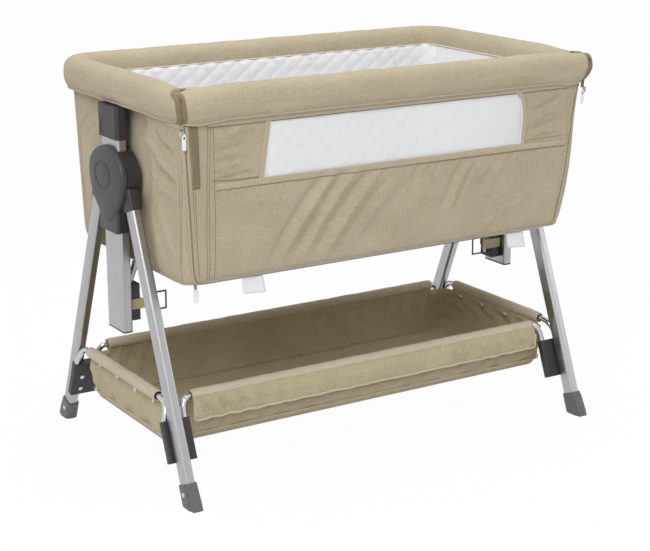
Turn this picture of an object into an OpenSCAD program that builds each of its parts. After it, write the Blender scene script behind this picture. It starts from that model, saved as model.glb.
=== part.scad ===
// Bedside crib: a fabric bed on two posts that slide in an A-shaped stand, with a basket below.
// Millimetres. X runs along the bed, the drop side faces -Y, Z is up, the floor is z = 0.

/* [Stand] */
// Distance of the legs' middle plane outside the tubes of the side rails
leg_out = 15.5; // [12:0.5:18]
// Distance from the middle plane to a leg's centre line, at floor level
leg_foot_y = 276; // [260:1:300]
// Lean of each leg from upright, in degrees
leg_lean = 22; // [20:0.5:24]
// Width of a leg tube along the bed
leg_w = 20; // [16:1:24]
// Depth of a leg tube across the bed
leg_d = 30; // [26:1:34]
// Outer corner radius of a leg tube
leg_r = 6; // [3:0.5:7]
// Wall of a leg tube
leg_wall = 1.6; // [1:0.1:2.5]
// Height at which a leg tube ends inside the hub
leg_top_z = 532; // [520:1:545]
// Length of a foot cap along its leg
foot_len = 44; // [34:1:60]
// Wall of a foot cap round its leg
foot_wall = 3; // [2:0.5:5]
// Thickness of a foot's sole under the leg tube
foot_sole = 5; // [4:0.5:8]
// How far the sole of a foot flares outwards
foot_flare = 4.5; // [0:0.5:10]

/* [Hub] */
// Greatest half width of a hub
hub_half_w = 72; // [68:1:78]
// Height of the widest place of a hub
hub_mid_z = 566; // [560:1:572]
// Height of the top of a hub
hub_top_z = 620; // [612:1:624]
// Height of the lower point of a hub's oval face
hub_point_z = 470; // [464:1:480]
// Height of the lower edge of the collar round the post
collar_bottom_z = 460; // [452:1:466]
// Height of the upper end of the collar
collar_top_z = 512; // [500:1:520]
// Thickness of the hub's outer cover
hub_cover_t = 15; // [12:1:16]
// Thickness of the hub's inner shell
hub_inner_t = 27; // [25:1:28]
// Wall of both hub shells
hub_wall = 3; // [2:0.5:4]
// Height of the lower end of a leg socket, on its leg's centre line
socket_bottom_z = 509; // [500:1:512]

/* [Posts] */
// Offset of a post's middle plane outside the legs' plane
post_out = 1; // [0:0.5:3]
// Thickness of a post along the bed
post_t = 20; // [18:1:22]
// Width of a post across the bed
post_w = 70; // [60:1:72]
// Corner radius of a post
post_r = 5; // [3:0.5:6]
// Wall of a post
post_wall = 1.8; // [1.2:0.1:2.5]
// Height of the lower end of a post, with the bed at rest
post_bottom_z = 268; // [255:1:280]
// Thickness of the end cap under a post
post_cap_t = 3; // [2:0.5:5]

/* [Sleeves] */
// Height of the lower edge of the sleeve under the rail
sleeve_bottom_z = 634; // [632:1:642]
// Width of a sleeve across the bed
sleeve_w = 80; // [76:1:86]
// Wall of a sleeve outside its post
sleeve_wall = 4; // [3.5:0.5:5]
// Wall of a sleeve between the post and the bed
sleeve_inner_wall = 2; // [1.5:0.5:3]
// Width of the neck that holds the rail tube
neck_w = 56; // [40:1:64]
// Width of a lock button
button_w = 16; // [12:1:18]
// Height of a lock button
button_h = 22; // [16:1:26]
// Travel of a lock button
button_travel = 3; // [2:0.5:3.5]

/* [Rail] */
// Height of the top of the padded rail
rail_top_z = 757; // [750:1:770]
// Half length over the padded rail
rail_half_l = 464; // [460:1:474]
// Distance from the middle plane to the rail's front face
rail_front_y = 277; // [272:1:284]
// Distance from the middle plane to the rail's rear face
rail_rear_y = 264; // [258:1:270]
// Width of the padded rail
pad_w = 55; // [52:1:60]
// Height of the padded rail
pad_h = 62; // [58:1:66]
// Edge radius of the padded rail
pad_r = 21; // [12:1:24]
// Outer radius of the rail's rear corners, seen from above
rear_corner_r = 85; // [75:1:100]
// Outer radius of the rail's front corners, seen from above
front_corner_r = 26; // [16:1:32]
// Outer diameter of the steel tube in the rail
rail_tube_d = 22; // [18:1:24]
// Wall of the steel tubes
tube_wall = 1.2; // [0.8:0.1:2]

/* [Bed] */
// Height of the underside of the fabric bed
bed_z = 398; // [392:1:404]
// How far the bed's front corners stay inside the rail's ends, at the rail
wall_front_in = 8; // [4:1:12]
// How far the bed's rear corners stay inside the rail's ends, at the rail
wall_rear_in = 22; // [18:1:26]
// How far the end walls stay inside the rail's ends, at the floor
wall_floor_in = 34; // [30:1:38]
// How far the front wall stays behind the rail's front face, at the rail
front_in_top = 15; // [11:1:19]
// How far the front wall stays behind the rail's front face, at the floor
front_in_floor = 55; // [47:1:61]
// How far the rear wall stays inside the rail's rear face, at the rail
rear_in_top = 20; // [14:1:24]
// How far the rear wall stays inside the rail's rear face, at the floor
rear_in_floor = 42; // [34:1:48]
// Radius of the bed's rear corners
wall_rear_r = 48; // [40:1:56]
// Radius of the bed's front corners
wall_front_r = 8; // [5:1:10]
// Thickness of the sewn walls
cloth_t = 3; // [2.5:0.5:4]
// Thickness of the quilted lining, between its channels
lining_t = 6; // [4:0.5:8]
// Size of a quilted diamond, from channel to channel
quilt = 40; // [36:1:60]
// Depth of the quilting channels
quilt_depth = 3; // [1:0.5:3.5]
// Height of the top edge of the lining
lining_top_z = 690; // [670:1:693]
// Half length of the net window
window_half_l = 279; // [240:1:300]
// Height of the lower edge of the net window
window_z = 578; // [560:1:600]
// Depth of the main folds in the walls
fold_depth = 4; // [1:0.5:6]
// How far the zips stay inside the rail's ends, at the rail
zip_in_top = 18; // [17:1:22]
// How far the zips stay inside the rail's ends, at the floor
zip_in_floor = 56; // [50:1:64]
// Diameter of the tube frame under the bed
base_tube_d = 14; // [10:1:18]
// Thickness of the base board
board_t = 6; // [4:1:10]
// Thickness of the mattress
mattress_t = 40; // [30:1:60]

/* [Bed brackets] */
// Height of the top of a bracket between post and bed frame
bracket_top_z = 353; // [345:1:360]
// Height of a bracket
bracket_h = 70; // [60:1:75]
// Width of a bracket across the bed
bracket_w = 40; // [34:1:50]
// Thickness of a bracket along the bed
bracket_t = 24; // [20:1:28]
// Diameter of the support tube from the bracket to the bed frame
support_d = 13; // [10:1:16]

/* [Basket] */
// Height of the basket rods' straight runs
rod_z = 175; // [165:1:185]
// Diameter of the basket rods
rod_d = 12; // [8:1:14]
// Radius of the bends of the basket rods
rod_bend = 20; // [16:1:26]
// Distance from a leg's centre line to the rods, square to the leg
rod_in = 23; // [22:1:26]
// How far a hem on a long rod ends before the rod's bend
long_hem_back = 0; // [0:1:20]
// How far a hem on an end rod ends before the rod's bend
end_hem_back = 10.5; // [4:0.5:40]
// Outer diameter of a hem round its rod
hem_d = 22; // [18:1:26]
// Height of the basket's underside
basket_z = 78; // [60:1:90]
// How far the ends of the basket's floor stay inside the legs' plane
basket_floor_in = 16; // [12:1:32]
// Half width of the basket's floor
basket_floor_w = 160; // [140:1:166]
// Radius of the basket's corners
basket_r = 26; // [12:1:40]
// Depth of the flap that hangs over the front hem
flap_h = 54; // [40:1:64]
// Width of a basket bracket along the bed
holder_w = 56; // [50:1:64]
// Length of a basket bracket along its leg
holder_len = 78; // [60:1:90]
// Thickness of a basket bracket
holder_t = 16; // [14:1:20]
// Height of a basket bracket's upper edge
holder_top_z = 150; // [140:1:154]

/* [Hidden] */
$fn = 48;
fit = 0.4; // clearance between parts that move past each other
seam = 0.3; // clearance between a soft piece and its neighbour
snug = 0.1; // clearance between fixed parts that fit together

side_tube_x = rail_half_l - pad_w / 2;
leg_x = side_tube_x + leg_out;
post_x = leg_x + post_out;
leg_cos = cos(leg_lean);
leg_sin = sin(leg_lean);
leg_start = (foot_sole + leg_d / 2 * leg_sin) / leg_cos;
leg_end = leg_top_z / leg_cos;

// the post runs through the middle of the hub's inner half
hub_seam_x = post_x + post_t / 2 - 2 * hub_wall + 5;
hub_outer_x = hub_seam_x + hub_cover_t;
hub_inner_x = hub_seam_x - hub_inner_t;
channel_t = post_t + 2 * fit;
channel_w = post_w + 2 * fit;
collar_half_w = channel_w / 2 + hub_wall;

pad_bottom_z = rail_top_z - pad_h;
tube_z = rail_top_z - pad_h / 2;
front_tube_y = rail_front_y - pad_w / 2;
rear_tube_y = rail_rear_y - pad_w / 2;
rear_bend_r = rear_corner_r - pad_w / 2;
pad_cap_t = 12; // thickness of the side pads where they close the front pad's ends
pad_split_x = rail_half_l - pad_cap_t;
pad_split_y = rail_front_y - pad_w;
tube_inset = 6; // how far the front pad's bore stays inside its ends
rail_plug = 6; // length of the plugs' heads on the rail tube's open ends
plug_shank = 14; // length of the plugs inside the rail tube

sleeve_top_z = pad_bottom_z - seam;
sleeve_outer_x = post_x + post_t / 2 + sleeve_wall;
sleeve_inner_x = post_x - post_t / 2 - sleeve_inner_wall;
post_top_z = sleeve_top_z - 6;
button_y = 20;
button_z = sleeve_bottom_z + 8 + button_h / 2;
button_t = 2.6;
button_recess = 0.6;
button_x0 = sleeve_outer_x - button_recess - button_t;
post_window_gap = 1.5; // room round a button in the post's wall
post_plug = 12; // length of the post caps inside the posts
sleeve_r = 7;
neck_wall_in = 4;
neck_wall_out = 3;
neck_x0 = side_tube_x - rail_tube_d / 2 - neck_wall_in;
neck_x1 = side_tube_x + rail_tube_d / 2 + neck_wall_out;
neck_top_z = tube_z + rail_tube_d / 2 + neck_wall_in;

wall_top_z = pad_bottom_z - seam;
wall_h = wall_top_z - bed_z;
wall_front_l_top = rail_half_l - wall_front_in;
wall_rear_l_top = rail_half_l - wall_rear_in;
wall_l_floor = rail_half_l - wall_floor_in;
wall_front_y_top = rail_front_y - front_in_top;
wall_front_y_floor = rail_front_y - front_in_floor;
wall_rear_y_top = rail_rear_y - rear_in_top;
wall_rear_y_floor = rail_rear_y - rear_in_floor;
zip_x_top = rail_half_l - zip_in_top;
zip_x_floor = rail_half_l - zip_in_floor;
// in front of the hub and the legs the end walls stay inside this plane
hub_dent_x = min(hub_inner_x, sleeve_inner_x) - 2 * cloth_t;
hub_dent_side = 14;
hub_dent_w = hub_half_w + hub_dent_side;
hub_dent_blend = 46;

// the tube frame carries the floor cloth, the board and the mattress, and shows under the walls
base_drop = 5; // how far the tube frame hangs below the walls
base_bend_r = 40;
floor_t = 1.6;
floor_half_l = min(wall_l_floor, hub_dent_x) - cloth_t - seam;
floor_half_w = wall_front_y_floor - cloth_t - seam;
base_tube_z = bed_z + base_tube_d / 2 - base_drop;
base_tube_x = floor_half_l - base_tube_d / 2 - seam;
base_tube_y = floor_half_w - base_tube_d / 2 - seam;
floor_z = base_tube_z + base_tube_d / 2 + snug;
board_z = floor_z + floor_t + snug;
board_inset = 1;
mattress_z = board_z + board_t + seam;
mattress_gap = 2; // room between the mattress and the lining
lining_bottom_z = board_z + board_t + 1;
net_t = 0.8;

zip_gap = 0.5; // gap at the zip between the front wall and the corner
slider_t = 3.4;
slider_len = 11;
slider_w = 7;
slider_out = slider_w / 2 + zip_gap; // the slider sits on the corner's side of the gap
pull_len = 30;
pull_w = 7;
pull_t = 1.8;
pull_pin_d = 2;
pull_pin_out = slider_t + fit - 1.4; // distance of the pull's pin from the wall

bracket_x = post_x - post_t / 2 - bracket_t / 2 - snug;
bracket_z = bracket_top_z - bracket_h;
support_depth = 22; // how deep a support tube sits in its bracket
bracket_bolt_z = [bracket_z + 12, bracket_z + 32];

rod_y = leg_foot_y - (rod_z + rod_in * leg_sin) / leg_cos * leg_sin - rod_in * leg_cos;
end_rod_x = leg_x;
rod_leg_z = (rod_z + rod_in * leg_sin) / leg_cos;
holder_top = holder_top_z / leg_cos;
end_rod_out = 11; // an end rod's foot, outboard of its leg's middle
long_rod_in = 30; // a long rod's foot, inboard of its leg's middle
end_rod_foot_x = leg_x + end_rod_out;
long_rod_foot_x = leg_x - long_rod_in;
basket_end_in = 4; // the ends of the basket hang a little inboard of their rods
basket_floor_l = leg_x - basket_floor_in;
hem_half_l = long_rod_foot_x - rod_bend - long_hem_back;
hem_half_w = rod_y - rod_bend - end_hem_back;
corner_open = 28; // how far the basket's open corners reach below its rods
rod_depth = 24; // how deep a rod's end sits in its bracket
bolt_d = 5;
bolt_head_d = 9;
holder_bolts = [32, 62]; // from the top of a basket bracket down

// Shapes that several parts share

module rounded(w, d, r) {
    square([w - 2 * r, d], center = true);
    square([w, d - 2 * r], center = true);
    for (x = [-1, 1], y = [-1, 1]) translate([x * (w / 2 - r), y * (d / 2 - r)]) circle(r);
}

module tube_x(d, wall, x0, x1) {
    translate([x0, 0, 0]) rotate([0, 90, 0]) linear_extrude(x1 - x0) difference() {
        circle(d = d);
        circle(d = d - 2 * wall);
    }
}

module rod_along_x(d, x0, x1) {
    translate([x0, 0, 0]) rotate([0, 90, 0]) cylinder(d = d, h = x1 - x0);
}

module rod_along_y(d, y0, y1) {
    translate([0, y1, 0]) rotate([90, 0, 0]) cylinder(d = d, h = y1 - y0);
}

// places a shape in a leg's own frame: its Z runs up the leg and its Y points outwards
module on_leg(side, end) {
    translate([side * leg_x, end * leg_foot_y, 0])
        rotate([end * leg_lean, 0, 0])
            rotate([0, 0, end > 0 ? 0 : 180])
                mirror([side * end < 0 ? 1 : 0, 0, 0]) children();
}

// a sheet with a thickness: a grid of points on its outer face and one on its inner face,
// open where the gap says (first column, last column, first row)
function cell_on(i, j, nx, nz, gap) =
    i >= 0 && i < nx && j >= 0 && j < nz && !(i >= gap[0] && i < gap[1] && j >= gap[2]);
function quad(a, b, c, d) = [[a, b, c], [a, c, d]];
module sheet_solid(outer, inner, nx, nz, gap = [0, 0, 0]) {
    back = (nx + 1) * (nz + 1);
    faces = [
        for (j = [0:nz - 1], i = [0:nx - 1])
            if (cell_on(i, j, nx, nz, gap))
                let (a = j * (nx + 1) + i, b = a + 1, c = b + nx + 1, d = a + nx + 1)
                    each concat(
                        quad(a, d, c, b),
                        quad(back + a, back + b, back + c, back + d),
                        cell_on(i, j - 1, nx, nz, gap) ? [] : quad(a, b, back + b, back + a),
                        cell_on(i + 1, j, nx, nz, gap) ? [] : quad(b, c, back + c, back + b),
                        cell_on(i, j + 1, nx, nz, gap) ? [] : quad(c, d, back + d, back + c),
                        cell_on(i - 1, j, nx, nz, gap) ? [] : quad(d, a, back + a, back + d)
                    )
    ];
    polyhedron(concat(outer, inner), faces);
}

// a round bar swept along points, closed at both ends
function unit(v) = v / norm(v);
function sweep_dir(path, i) =
    unit(path[min(i + 1, len(path) - 1)] - path[max(i - 1, 0)]);
module swept_bar(path, d, sides = 12) {
    last = len(path) - 1;
    points = [
        for (i = [0:last])
            let (t = sweep_dir(path, i), up = abs(t[0]) < 0.9 ? [1, 0, 0] : [0, 1, 0],
                 u = unit(cross(t, up)), v = cross(t, u))
                for (k = [0:sides - 1])
                    path[i] + d / 2 * (cos(k * 360 / sides) * u + sin(k * 360 / sides) * v)
    ];
    faces = concat(
        [[for (k = [0:sides - 1]) k]],
        [for (i = [0:last - 1], k = [0:sides - 1])
            let (a = i * sides + k, b = i * sides + (k + 1) % sides)
                each quad(a, a + sides, b + sides, b)],
        [[for (k = [sides - 1:-1:0]) last * sides + k]]
    );
    polyhedron(points, faces);
}
function mix(a, b, t) = a + (b - a) * t;
function smooth(t) = let (c = max(0, min(1, t))) c * c * (3 - 2 * c);
function bump(x, centre, half) = let (t = abs(x - centre) / half) t < 1 ? (1 + cos(180 * t)) / 2 : 0;
// a fold of the cloth: its place at the floor, how far it wanders on its way up, its half width
// and which way it goes, in or out
function fold_at(fold, place, h) = fold[3] * bump(place, fold[0] + fold[1] * h, fold[2]);

// Stand

module leg(side, end) {
    color("silver") on_leg(side, end) translate([0, 0, leg_start])
        linear_extrude(leg_end - leg_start) difference() {
            rounded(leg_w, leg_d, leg_r);
            rounded(leg_w - 2 * leg_wall, leg_d - 2 * leg_wall, leg_r - leg_wall);
        }
}

module foot(side, end) {
    w = leg_w + 2 * foot_wall;
    d = leg_d + 2 * foot_wall;
    below = 3 * foot_sole;
    color("dimgray") difference() {
        on_leg(side, end) {
            translate([0, 0, -below]) linear_extrude(foot_len + below) rounded(w, d, leg_r + foot_wall);
            rotate([90, 0, 90]) linear_extrude(w - 2 * foot_wall, center = true) polygon([
                [-d / 4, -below], [d / 2 + foot_flare, -below], [d / 2 + foot_flare, foot_sole],
                [d / 2, foot_len - foot_sole], [-d / 4, foot_len - foot_sole],
            ]);
        }
        on_leg(side, end) translate([0, 0, leg_start]) linear_extrude(foot_len)
            rounded(leg_w + 2 * snug, leg_d + 2 * snug, leg_r);
        translate([side * leg_x - foot_len, end * leg_foot_y - foot_len, -foot_len])
            cube([2 * foot_len, 2 * foot_len, foot_len]);
    }
}

// Hubs. The right one is modelled, and the left one is its mirror image.

function hub_outline(inset) = [
    for (a = [0:10:180])
        [(hub_half_w - inset) * cos(a), hub_mid_z + (hub_top_z - hub_mid_z - inset) * sin(a)],
    for (k = [1:8]) let (t = 1 - k / 8)
        [-(hub_half_w - inset) * (1 - pow(1 - t, 1.8)), hub_mid_z - (hub_mid_z - hub_point_z) * (1 - t)],
    for (k = [1:7]) let (t = k / 8)
        [(hub_half_w - inset) * (1 - pow(1 - t, 1.8)), hub_mid_z - (hub_mid_z - hub_point_z) * (1 - t)],
];

module hub_shape(inset) {
    polygon(hub_outline(inset));
    translate([-collar_half_w + inset, collar_bottom_z])
        square([2 * (collar_half_w - inset), collar_top_z - collar_bottom_z]);
}

// stands a shape drawn in Y and Z upright, from x0 outwards
module upright(x0, t) {
    translate([x0, 0, 0]) rotate([90, 0, 90]) linear_extrude(t) children();
}

module post_channel() {
    translate([post_x, 0, collar_bottom_z - 1]) linear_extrude(hub_top_z - collar_bottom_z + 2)
        square([channel_t, channel_w], center = true);
}

module channel_walls(x0, t) {
    difference() {
        upright(x0, t) intersection() {
            hub_shape(0);
            translate([-collar_half_w, collar_bottom_z])
                square([2 * collar_half_w, hub_top_z - collar_bottom_z]);
        }
        post_channel();
    }
}

// the part of both leg sockets that lies between x0 and x0 + t
module leg_sockets(x0, t) {
    low = socket_bottom_z / leg_cos;
    for (end = [-1, 1]) intersection() {
        on_leg(1, end) translate([0, 0, low]) linear_extrude(leg_end + hub_wall - low)
            rounded(leg_w + 2 * hub_wall, leg_d + 2 * hub_wall, leg_r + hub_wall);
        translate([x0, -leg_foot_y, socket_bottom_z - leg_d])
            cube([t, 2 * leg_foot_y, hub_top_z - socket_bottom_z + leg_d]);
    }
}

module leg_socket_hole(end) {
    on_leg(1, end) translate([0, 0, leg_start]) linear_extrude(leg_end - leg_start + snug)
        rounded(leg_w + 2 * snug, leg_d + 2 * snug, leg_r);
}

hub_screw_at = [[52, 572], [-52, 572]];
hub_boss_r = 5;
hub_screw_d = 2.6;
hub_screw_head = 1.8;
hub_oval_r = 30;
hub_oval_line = 1.6;
hub_oval_depth = 0.8;

module hub_inner() {
    color([0.23, 0.21, 0.21]) difference() {
        union() {
            upright(hub_inner_x, hub_wall) hub_shape(0);
            upright(hub_inner_x, hub_inner_t - snug) difference() {
                hub_shape(0);
                hub_shape(hub_wall);
            }
            channel_walls(hub_inner_x, hub_inner_t - snug);
            for (p = hub_screw_at) upright(hub_inner_x, hub_inner_t - snug)
                translate(p) circle(hub_boss_r);
            leg_sockets(hub_inner_x, hub_inner_t - snug);
        }
        post_channel();
        for (end = [-1, 1]) leg_socket_hole(end);
        for (p = hub_screw_at) upright(hub_inner_x - 1, hub_inner_t + 2)
            translate(p) circle(d = hub_screw_d + 2 * fit);
    }
}

module hub_cover() {
    color([0.31, 0.33, 0.33]) difference() {
        union() {
            upright(hub_outer_x - hub_wall, hub_wall) hub_shape(hub_wall / 2);
            upright(hub_seam_x, hub_cover_t - hub_wall) difference() {
                hub_shape(0);
                hub_shape(hub_wall);
            }
            channel_walls(hub_seam_x, hub_cover_t - hub_wall);
            for (p = hub_screw_at) upright(hub_seam_x, hub_cover_t - hub_wall)
                translate(p) circle(hub_boss_r);
            leg_sockets(hub_seam_x, hub_cover_t - hub_wall);
        }
        post_channel();
        for (p = hub_screw_at) upright(hub_seam_x - 1, hub_cover_t - hub_wall)
            translate(p) circle(d = hub_screw_d);
        // a shallow plain oval on the outer face
        upright(hub_outer_x - hub_oval_depth, 2 * hub_oval_depth)
            translate([0, hub_mid_z - 4]) difference() {
                oval(hub_oval_r);
                oval(hub_oval_r - hub_oval_line);
            }
        for (end = [-1, 1]) leg_socket_hole(end);
    }
}

module oval(r) {
    polygon([for (a = [0:10:350]) [0.72 * r * cos(a), r * sin(a)]]);
}

module hub_screws() {
    color("gray") for (side = [-1, 1], p = hub_screw_at)
        mirror([side < 0 ? 1 : 0, 0, 0]) {
            upright(hub_inner_x - hub_screw_head, hub_screw_head)
                translate(p) circle(d = 2.5 * hub_screw_d);
            upright(hub_inner_x, hub_inner_t + hub_cover_t - 2 * hub_wall)
                translate(p) circle(d = hub_screw_d);
        }
}

// Posts and sleeves, right side

module post() {
    color("silver") difference() {
        translate([post_x, 0, post_bottom_z]) linear_extrude(post_top_z - post_bottom_z) difference() {
            rounded(post_t, post_w, post_r);
            rounded(post_t - 2 * post_wall, post_w - 2 * post_wall, post_r - post_wall);
        }
        // the window that a pressed button sinks into
        button_hole(button_x0 - button_travel - fit, post_t, post_window_gap);
        // holes for the two bolts of the bed bracket
        for (z = bracket_bolt_z) translate([post_x - post_t / 2 - 1, 0, z])
            rod_along_x(bolt_d + 2 * snug, 0, post_wall + 2);
    }
}

module button_hole(x0, t, clear) {
    translate([x0, button_y - button_w / 2 - clear, button_z - button_h / 2 - clear])
        cube([t, button_w + 2 * clear, button_h + 2 * clear]);
}

module post_caps() {
    color("dimgray") for (side = [-1, 1]) translate([side * post_x, 0, post_bottom_z]) {
        translate([0, 0, -post_cap_t]) linear_extrude(post_cap_t) rounded(post_t, post_w, post_r);
        linear_extrude(post_plug) rounded(
            post_t - 2 * post_wall - 2 * snug, post_w - 2 * post_wall - 2 * snug, post_r - post_wall - snug
        );
    }
}

module sleeve() {
    t = sleeve_outer_x - sleeve_inner_x;
    color([0.25, 0.26, 0.27]) difference() {
        union() {
            translate([(sleeve_outer_x + sleeve_inner_x) / 2, 0, sleeve_bottom_z])
                linear_extrude(sleeve_top_z - sleeve_bottom_z) rounded(t, sleeve_w, sleeve_r);
            translate([sleeve_inner_x, -neck_w / 2, post_top_z])
                cube([neck_x1 - sleeve_inner_x, neck_w, tube_z - post_top_z]);
            translate([neck_x0, -neck_w / 2, 2 * tube_z - neck_top_z])
                cube([neck_x1 - neck_x0, neck_w, 2 * (neck_top_z - tube_z)]);
        }
        translate([post_x, 0, sleeve_bottom_z - 1]) linear_extrude(post_top_z - sleeve_bottom_z + 1)
            rounded(post_t + 2 * snug, post_w + 2 * snug, post_r);
        translate([side_tube_x, 0, tube_z]) rod_along_y(rail_tube_d + 2 * snug, -neck_w, neck_w);
        button_hole(post_x, 2 * post_t, fit);
    }
}

module lock_button() {
    color([0.12, 0.12, 0.13]) translate([button_x0, button_y - button_w / 2, button_z - button_h / 2])
        cube([button_t, button_w, button_h]);
}

// Rail: tubes and pads

module rail_tube() {
    color("gainsboro") {
        for (side = [-1, 1]) {
            translate([side * side_tube_x, rear_tube_y - rear_bend_r, tube_z]) rotate([90, 0, 0])
                linear_extrude(rear_tube_y - rear_bend_r + pad_split_y - rail_plug) difference() {
                    circle(d = rail_tube_d);
                    circle(d = rail_tube_d - 2 * tube_wall);
                }
            translate([side * (side_tube_x - rear_bend_r), rear_tube_y - rear_bend_r, tube_z])
                mirror([side < 0 ? 1 : 0, 0, 0]) rotate_extrude(angle = 90) translate([rear_bend_r, 0])
                    difference() {
                        circle(d = rail_tube_d);
                        circle(d = rail_tube_d - 2 * tube_wall);
                    }
        }
        translate([0, rear_tube_y, tube_z])
            tube_x(rail_tube_d, tube_wall, rear_bend_r - side_tube_x, side_tube_x - rear_bend_r);
    }
}

module front_rail_tube() {
    color("gainsboro") translate([0, -front_tube_y, tube_z])
        tube_x(rail_tube_d, tube_wall, 2 * tube_inset - pad_split_x, pad_split_x - 2 * tube_inset);
}

module rail_plugs() {
    color("dimgray") for (side = [-1, 1]) translate([side * side_tube_x, -pad_split_y, tube_z]) {
        rod_along_y(rail_tube_d, seam, rail_plug - snug);
        rod_along_y(rail_tube_d - 2 * tube_wall - 2 * snug, seam, rail_plug + plug_shank);
    }
}

module pad_profile() {
    rounded(pad_w, pad_h, pad_r);
}

module front_bar(x_end) {
    translate([-x_end, -front_tube_y, tube_z]) rotate([90, 0, 90]) linear_extrude(2 * x_end) pad_profile();
}

module plan_outline() {
    translate([0, 0, pad_bottom_z - 1]) linear_extrude(pad_h + 2) difference() {
        translate([-rail_half_l, -rail_front_y]) square([2 * rail_half_l, 2 * rail_front_y]);
        for (side = [-1, 1]) translate([side * rail_half_l, -rail_front_y]) difference() {
            square(2 * front_corner_r, center = true);
            translate([-side * front_corner_r, front_corner_r]) circle(front_corner_r);
        }
    }
}

module pad_side() {
    y_rear = rear_tube_y - rear_bend_r - seam;
    color([0.71, 0.66, 0.55]) difference() {
        union() {
            translate([side_tube_x, y_rear, tube_z]) rotate([90, 0, 0])
                linear_extrude(y_rear + pad_split_y - seam) pad_profile();
            intersection() {
                translate([side_tube_x, 0, tube_z]) rotate([90, 0, 0])
                    linear_extrude(rail_front_y + 1) pad_profile();
                front_bar(rail_half_l + 1);
                plan_outline();
                translate([pad_split_x + fit, -rail_front_y - 1, pad_bottom_z - 1])
                    cube([pad_w, pad_w + 2, pad_h + 2]);
            }
            translate([pad_split_x + fit, -pad_split_y - pad_r, tube_z - pad_h / 2 + pad_r])
                cube([pad_cap_t / 2, pad_r + 1, pad_h - 2 * pad_r]);
        }
        translate([side_tube_x, 0, tube_z])
            rod_along_y(rail_tube_d + 2 * snug, -pad_split_y - 1, y_rear + 1);
        // room for the sleeve's neck
        translate([min(neck_x0, sleeve_inner_x) - seam, -neck_w / 2 - seam, pad_bottom_z - 1]) cube([
            neck_x1 - min(neck_x0, sleeve_inner_x) + 2 * seam, neck_w + 2 * seam,
            neck_top_z + seam - pad_bottom_z + 1
        ]);
    }
}

module pad_section() {
    difference() {
        pad_profile();
        circle(d = rail_tube_d + 2 * snug);
    }
}

module pad_rear() {
    color([0.71, 0.66, 0.55]) {
        translate([rear_bend_r - side_tube_x, rear_tube_y, tube_z]) rotate([90, 0, 90])
            linear_extrude(2 * (side_tube_x - rear_bend_r)) pad_section();
        for (side = [-1, 1]) rear_bend(side) pad_section();
    }
}

module rear_bend(side) {
    translate([side * (side_tube_x - rear_bend_r), rear_tube_y - rear_bend_r, tube_z])
        mirror([side < 0 ? 1 : 0, 0, 0])
            rotate_extrude(angle = 90) translate([rear_bend_r, 0]) children();
}

module pad_front() {
    color([0.71, 0.66, 0.55]) difference() {
        intersection() {
            front_bar(pad_split_x);
            plan_outline();
        }
        translate([0, -front_tube_y, tube_z])
            rod_along_x(rail_tube_d + 2 * snug, tube_inset - pad_split_x, pad_split_x - tube_inset);
    }
}

// Bed walls. Heights run from 0 at the floor to 1 at the rail.

function height_at(h) = bed_z + h * wall_h;
function front_y(h) = mix(wall_front_y_floor, wall_front_y_top, h);
function rear_y(h) = mix(wall_rear_y_floor, wall_rear_y_top, h);
function zip_x(h) = mix(zip_x_floor, zip_x_top, h);
function end_x(y, h) =
    let (t = (y + front_y(h)) / (front_y(h) + rear_y(h)),
         plain = mix(mix(wall_l_floor, wall_front_l_top, h), mix(wall_l_floor, wall_rear_l_top, h), t),
         away = smooth((abs(y) - hub_dent_w) / hub_dent_blend))
        mix(min(plain, hub_dent_x), plain, away);
// soft folds that run down from the front corner, past the hub
end_folds = [[-10, -160, 34, 1], [-130, -60, 30, -1]];
function end_fold(y, h) =
    fold_depth * bump(h, 0.5, 0.5) * (
        fold_at(end_folds[0], y, h) + fold_at(end_folds[1], y, h) * smooth((abs(y) - hub_dent_w) / 20)
    );

end_rows = 10;
end_cols = 18;
function end_point(i, h, k) =
    let (yf = -front_y(h) + k, xf = end_x(-front_y(h), h) - k, r = wall_front_r - k,
         y0 = yf + r, y1 = rear_y(h) - wall_rear_r, y = mix(y0, y1, (i - 2) / (end_cols - 2)))
        i == 0 ? [zip_x(h) + zip_gap / 2, yf, height_at(h)]
        : i == 1 ? [xf - r, yf, height_at(h)]
        : [end_x(y, h) - k - end_fold(y, h), y, height_at(h)];

module end_wall() {
    color([0.71, 0.66, 0.55]) sheet_solid(
        [for (j = [0:end_rows], i = [0:end_cols]) end_point(i, j / end_rows, 0)],
        [for (j = [0:end_rows], i = [0:end_cols]) end_point(i, j / end_rows, cloth_t)],
        end_cols, end_rows
    );
}

rear_rows = 6;
bend_steps = 5;
function rear_point(i, h, k) =
    let (n = 2 * bend_steps + 1, c = rear_y(h) - wall_rear_r, r = wall_rear_r - k,
         side = i <= bend_steps ? 1 : -1, a = side > 0 ? i : n - i,
         x = end_x(c, h) - wall_rear_r + r * cos(90 * a / bend_steps))
        [side * x, c + r * sin(90 * a / bend_steps) + (a == 0 ? seam : 0), height_at(h)];

module rear_wall() {
    cols = 2 * bend_steps + 1;
    color([0.71, 0.66, 0.55]) sheet_solid(
        [for (j = [0:rear_rows], i = [0:cols]) rear_point(i, j / rear_rows, 0)],
        [for (j = [0:rear_rows], i = [0:cols]) rear_point(i, j / rear_rows, cloth_t)],
        cols, rear_rows
    );
}

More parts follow.
